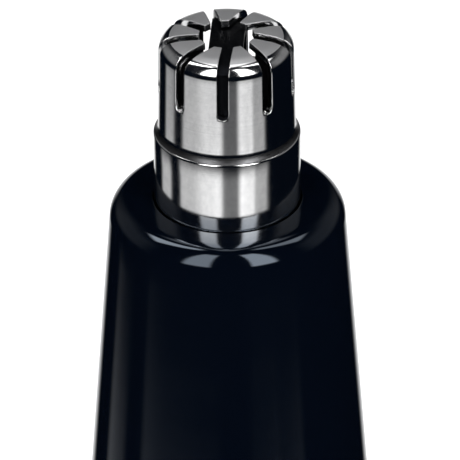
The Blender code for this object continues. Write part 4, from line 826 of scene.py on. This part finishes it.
# ---------------------------------------------------------------- switch
def make_switch_button():
    """Thumb button: crowned pad with rounded grip ribs, and its stem."""
    low = BUTTON_LOW
    high = BUTTON_HIGH
    back_y = RECESS_Y - 0.12 * MM
    front_y = low[1]
    pad = rounded_box("switch_pad", (low[0], front_y, low[2]), (high[0], back_y, high[2]),
                      0.7 * MM, 5, MATT_BLACK)
    grooves = []
    groove_r = 0.42 * MM
    reach = 6.0 * MM
    count = 6
    pitch = (high[2] - low[2] - 2.4 * MM) / (count - 1)
    for index in range(count):
        z = low[2] + 1.2 * MM + pitch * index
        groove = lathe("groove_tool", [(0.0, reach), (groove_r, reach), (groove_r, -reach), (0.0, -reach)],
                       24, closed=False)
        place = Matrix.Translation((0.0, front_y - 0.07 * MM, z))
        groove.data.transform(place @ Matrix.Rotation(math.pi / 2, 4, "Y"))
        grooves.append(groove)
    combine(pad, grooves, "DIFFERENCE")
    middle = (low[2] + high[2]) / 2.0
    stem = rounded_box("stem_tool", (-1.3 * MM, back_y - 0.5 * MM, middle - 2.5 * MM),
                       (1.3 * MM, high[1], middle + 2.5 * MM), 0.15 * MM, 2)
    combine(pad, [stem], "UNION")
    soften_edges(pad, 0.06 * MM, 2, 50.0)
    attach(pad, "switch")
    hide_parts("switch_button")
    return pad


# ---------------------------------------------------------------- blade and drive
def make_inner_blade():
    """Rotary blade: a bent strip with ground cutting edges, its steel coloured almost black as painted shade."""
    wall_gap = 0.10 * MM
    thick = 0.45 * MM
    top = HEAD_TOP_Z - GUARD_WALL - wall_gap
    reach = TUBE_R - GUARD_WALL - wall_gap
    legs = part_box("inner_blade")[0][2]
    tilt = math.radians(DOME_EDGE_START)
    edge_r = TUBE_R - DOME_EDGE_R
    edge_z = HEAD_TOP_Z - CROWN - CROWN_R + (CROWN_R - DOME_EDGE_R) * math.cos(tilt)
    crown_r = edge_r - (CROWN_R - DOME_EDGE_R) * math.sin(tilt)
    bend_r = DOME_EDGE_R - GUARD_WALL - wall_gap
    outline = [(0.0, top), (crown_r, top - CROWN)] + arc(edge_r, edge_z, bend_r, 90 - DOME_EDGE_START, 0, 10)
    outline += [(reach, legs), (reach - thick, legs)]
    outline += rounded([(reach - thick, legs + MM), (reach - thick, edge_z - 0.2 * MM),
                        (crown_r, top - thick - 0.1 * MM), (HOLE_R / 2.0, top - thick)], 0.3 * MM, 6)
    outline += [(0.0, top - thick)]
    blade = lathe("blade_strip", outline, 180, BLADE_STEEL_PAINTED_SHADE, closed=False)
    half = 1.125 * MM
    strip = rounded_box("strip_tool", (-half, -RING_R, legs - MM), (half, RING_R, top + MM), 0.01 * MM, 1)
    combine(blade, [strip], "INTERSECT")
    soften_edges(blade, 0.06 * MM, 1, 40.0)
    turn(blade, math.radians(-3.5))
    blade.data.materials.clear()
    blade.data.materials.append(BLADE_STEEL_PAINTED_SHADE)
    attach(blade, "rotor")
    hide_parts("inner_blade")
    return blade


def make_turned_pieces():
    """Smooth versions of the small turned pieces that show when the head or cap is off."""
    base_r = BASE_HIGH[0]
    plug_top = RING_BOTTOM_Z - FIT_GAP
    spigot_r = RING_R - GUARD_WALL - 0.05 * MM
    chamfer = 0.4 * MM
    base_profile = [(spigot_r, BASE_HIGH[2]), (spigot_r, plug_top), (base_r, plug_top),
                    (base_r, BASE_LOW[2] + chamfer), (base_r - chamfer, BASE_LOW[2]),
                    (BASE_BORE_R, BASE_LOW[2]), (BASE_BORE_R, BASE_HIGH[2])]
    base = lathe("head_plug", rounded(base_profile, 0.12 * MM, 3), 120, MATT_BLACK)
    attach(base, "head")
    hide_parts("head_base")
    for node, body in (("head_o_ring", "housing"), ("cap_o_ring", "cap")):
        low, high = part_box(node)
        section = (high[2] - low[2]) / 2.0
        ring = lathe(node + "_round", arc(high[0] - section, (low[2] + high[2]) / 2.0, section, 90, -250, 17),
                     120, RUBBER)
        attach(ring, body)
        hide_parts(node)


def paint_frame_nodes():
    """Materials for the solids that stay as the frame made them."""
    finishes = {
        "blade_hub": ACETAL, "blade_spring": PLAIN_STEEL, "drive_spindle": PLAIN_STEEL,
        "spindle_seal": RUBBER, "spindle_bush": BRONZE, "shaft_coupler": ACETAL,
        "motor_can": PLAIN_STEEL, "motor_end_cap": ACETAL, "motor_magnet_left": FERRITE,
        "motor_magnet_right": FERRITE, "motor_bearing_front": BRONZE, "motor_bearing_rear": BRONZE,
        "motor_shaft": PLAIN_STEEL, "armature_core": LAMINATION, "armature_winding_1": COPPER,
        "armature_winding_2": COPPER, "armature_winding_3": COPPER, "commutator": COPPER,
        "motor_brush_left": CARBON, "motor_brush_right": CARBON, "motor_terminal_left": BRASS,
        "motor_terminal_right": BRASS, "motor_screw_left": PLAIN_STEEL, "motor_screw_right": PLAIN_STEEL,
        "inner_chassis": CHASSIS_GREY, "battery_positive_contact": BRASS, "negative_contact_strip": BRASS,
        "switch_fixed_contact": BRASS, "switch_lead": INSULATION, "switch_carrier": ACETAL,
        "switch_moving_contact": BRASS, "battery_cell": SLEEVE, "battery_spring": PLAIN_STEEL,
        "cap_contact_cup": BRASS,
    }
    for node, material in finishes.items():
        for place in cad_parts[node].material_slots:
            place.material = material


# ---------------------------------------------------------------- stage, light and camera
def make_floor():
    """A plain pale floor that is lit evenly and isn't mirrored in the steel."""
    size = 4.0
    model = bmesh.new()
    bmesh.ops.create_grid(model, x_segments=1, y_segments=1, size=size)
    mesh = finished_mesh("floor", model)
    material, _, shader, _ = new_material("pale_floor", (0.85, 0.85, 0.85), 0.9)
    shader.inputs["Emission Color"].default_value = (1.0, 1.0, 1.0, 1.0)
    shader.inputs["Emission Strength"].default_value = 0.55
    floor = make_object("floor", mesh, material)
    floor.visible_glossy = False


# Each softbox is a patch of the studio around the trimmer: azimuth is 0 at the -Y side and
# grows to the right, elevation is above the horizon, both in degrees. The four azimuths and
# the four elevations are where its light starts, is full, starts to fade, and ends.
SOFTBOXES = (
    ("left_floor_panel", (-83, -75, -16, -1), (-75, -50, -29, -24), 0.55),
    ("left_floor_glow", (-58, -32, -15, -3), (-75, -50, -29, -24), 0.33),
    ("left_rear_strip", (-128, -119, -104, -95), (-75, -50, -30, -26), 0.48),
    ("right_floor_panel", (14, 24, 40, 47), (-75, -50, -29, -24), 0.98),
    ("right_grey_panel", (40, 47, 62, 69), (-75, -50, -29, -24), 0.44),
    ("front_fill", (-26, -10, 20, 34), (-75, -50, -30, -25), 0.175),
    ("left_side_panel", (-160, -130, -100, -72), (-6, 12, 30, 50), 0.15),
    ("right_side_panel", (70, 96, 135, 165), (-6, 12, 30, 50), 0.17),
    ("front_left_box", (-46, -40, -20, -14), (8, 16, 66, 74), 3.3),
    ("front_right_box", (20, 25, 44, 50), (8, 16, 66, 74), 4.6),
    ("side_left_box", (-134, -127, -106, -99), (47, 53, 74, 80), 4.6),
    ("side_right_box", (97, 104, 124, 131), (47, 53, 74, 80), 2.4),
    ("rear_box", (146, 160, 200, 214), (50, 58, 80, 88), 1.3),
    ("back_glow", (150, 165, 195, 210), (-80, -60, -8, 2), 0.9),
)
DARK_ROOM = (0.0012, 0.0024, 0.0050, 1.0)      # what little light comes from between the softboxes


def make_world():
    """Soft studio light on every side, plain white where the camera looks past the trimmer."""
    world = bpy.data.worlds.new("studio")
    bpy.context.scene.world = world
    world.use_nodes = True
    tree = world.node_tree
    tree.nodes.clear()
    nodes = Nodes(tree)
    split = nodes.add("ShaderNodeSeparateXYZ")
    nodes.feed(split.inputs[0], nodes.add("ShaderNodeTexCoord").outputs["Generated"])
    x, y, z = split.outputs
    degrees = 360.0 / TAU
    azimuth = nodes.maths("MULTIPLY", nodes.maths("ARCTAN2", x, nodes.maths("MULTIPLY", y, -1.0)), degrees)
    elevation = nodes.maths("MULTIPLY", nodes.maths("ARCSINE", z), degrees)
    behind = nodes.maths("ADD", azimuth, nodes.maths("MULTIPLY", nodes.maths("LESS_THAN", azimuth, 0.0), 360.0))
    total = 0.0
    for _, around, up, level in SOFTBOXES:
        sweep = behind if around[3] > 180 else azimuth
        patch = nodes.maths("MULTIPLY", nodes.spread(sweep, around[0], around[1], 0.0, 1.0, True),
                            nodes.spread(sweep, around[2], around[3], 1.0, 0.0, True))
        patch = nodes.maths("MULTIPLY", patch, nodes.spread(elevation, up[0], up[1], 0.0, 1.0, True))
        patch = nodes.maths("MULTIPLY", patch, nodes.spread(elevation, up[2], up[3], level, 0.0, True))
        total = nodes.maths("ADD", patch, total)
    studio = nodes.add("ShaderNodeBackground")
    nodes.feed(studio.inputs["Strength"], total)
    studio.inputs["Color"].default_value = (1.0, 1.0, 1.0, 1.0)
    plain = nodes.add("ShaderNodeBackground")
    plain.inputs["Color"].default_value = (1.0, 1.0, 1.0, 1.0)
    plain.inputs["Strength"].default_value = 1.0
    mix = nodes.add("ShaderNodeMixShader")
    nodes.feed(mix.inputs[0], nodes.add("ShaderNodeLightPath").outputs["Is Camera Ray"])
    room = nodes.add("ShaderNodeBackground")
    room.inputs["Color"].default_value = DARK_ROOM
    together = nodes.add("ShaderNodeAddShader")
    tree.links.new(studio.outputs[0], together.inputs[0])
    tree.links.new(room.outputs[0], together.inputs[1])
    tree.links.new(together.outputs[0], mix.inputs[1])
    tree.links.new(plain.outputs[0], mix.inputs[2])
    tree.links.new(mix.outputs[0], nodes.add("ShaderNodeOutputWorld").inputs["Surface"])


def make_camera():
    """A long lens from the front and 31 degrees above, on the trimmer's upper part."""
    elevation = math.radians(31.0)
    distance = 0.425
    seen_width = 30.6 * MM
    roll = math.radians(-0.4)
    aim = Vector((0.15 * MM, 0.0, SHOULDER_Z - 2.75 * MM))
    back = Vector((0.0, -math.cos(elevation), math.sin(elevation)))
    data = bpy.data.cameras.new("camera")
    data.sensor_width = 36.0
    data.lens = data.sensor_width * distance / seen_width
    data.clip_start = 0.01
    data.clip_end = 100.0
    camera = bpy.data.objects.new("camera", data)
    bpy.context.scene.collection.objects.link(camera)
    camera.rotation_mode = "QUATERNION"
    camera.location = aim + back * distance
    camera.rotation_quaternion = (-back).to_track_quat("-Z", "Y") @ Matrix.Rotation(roll, 4, "Z").to_quaternion()
    bpy.context.scene.camera = camera


make_cutter_guard()
make_housing()
make_battery_cap()
make_switch_button()
make_inner_blade()
make_turned_pieces()
paint_frame_nodes()
make_floor()
make_world()
make_camera()
bpy.context.scene.view_settings.view_transform = "Standard"
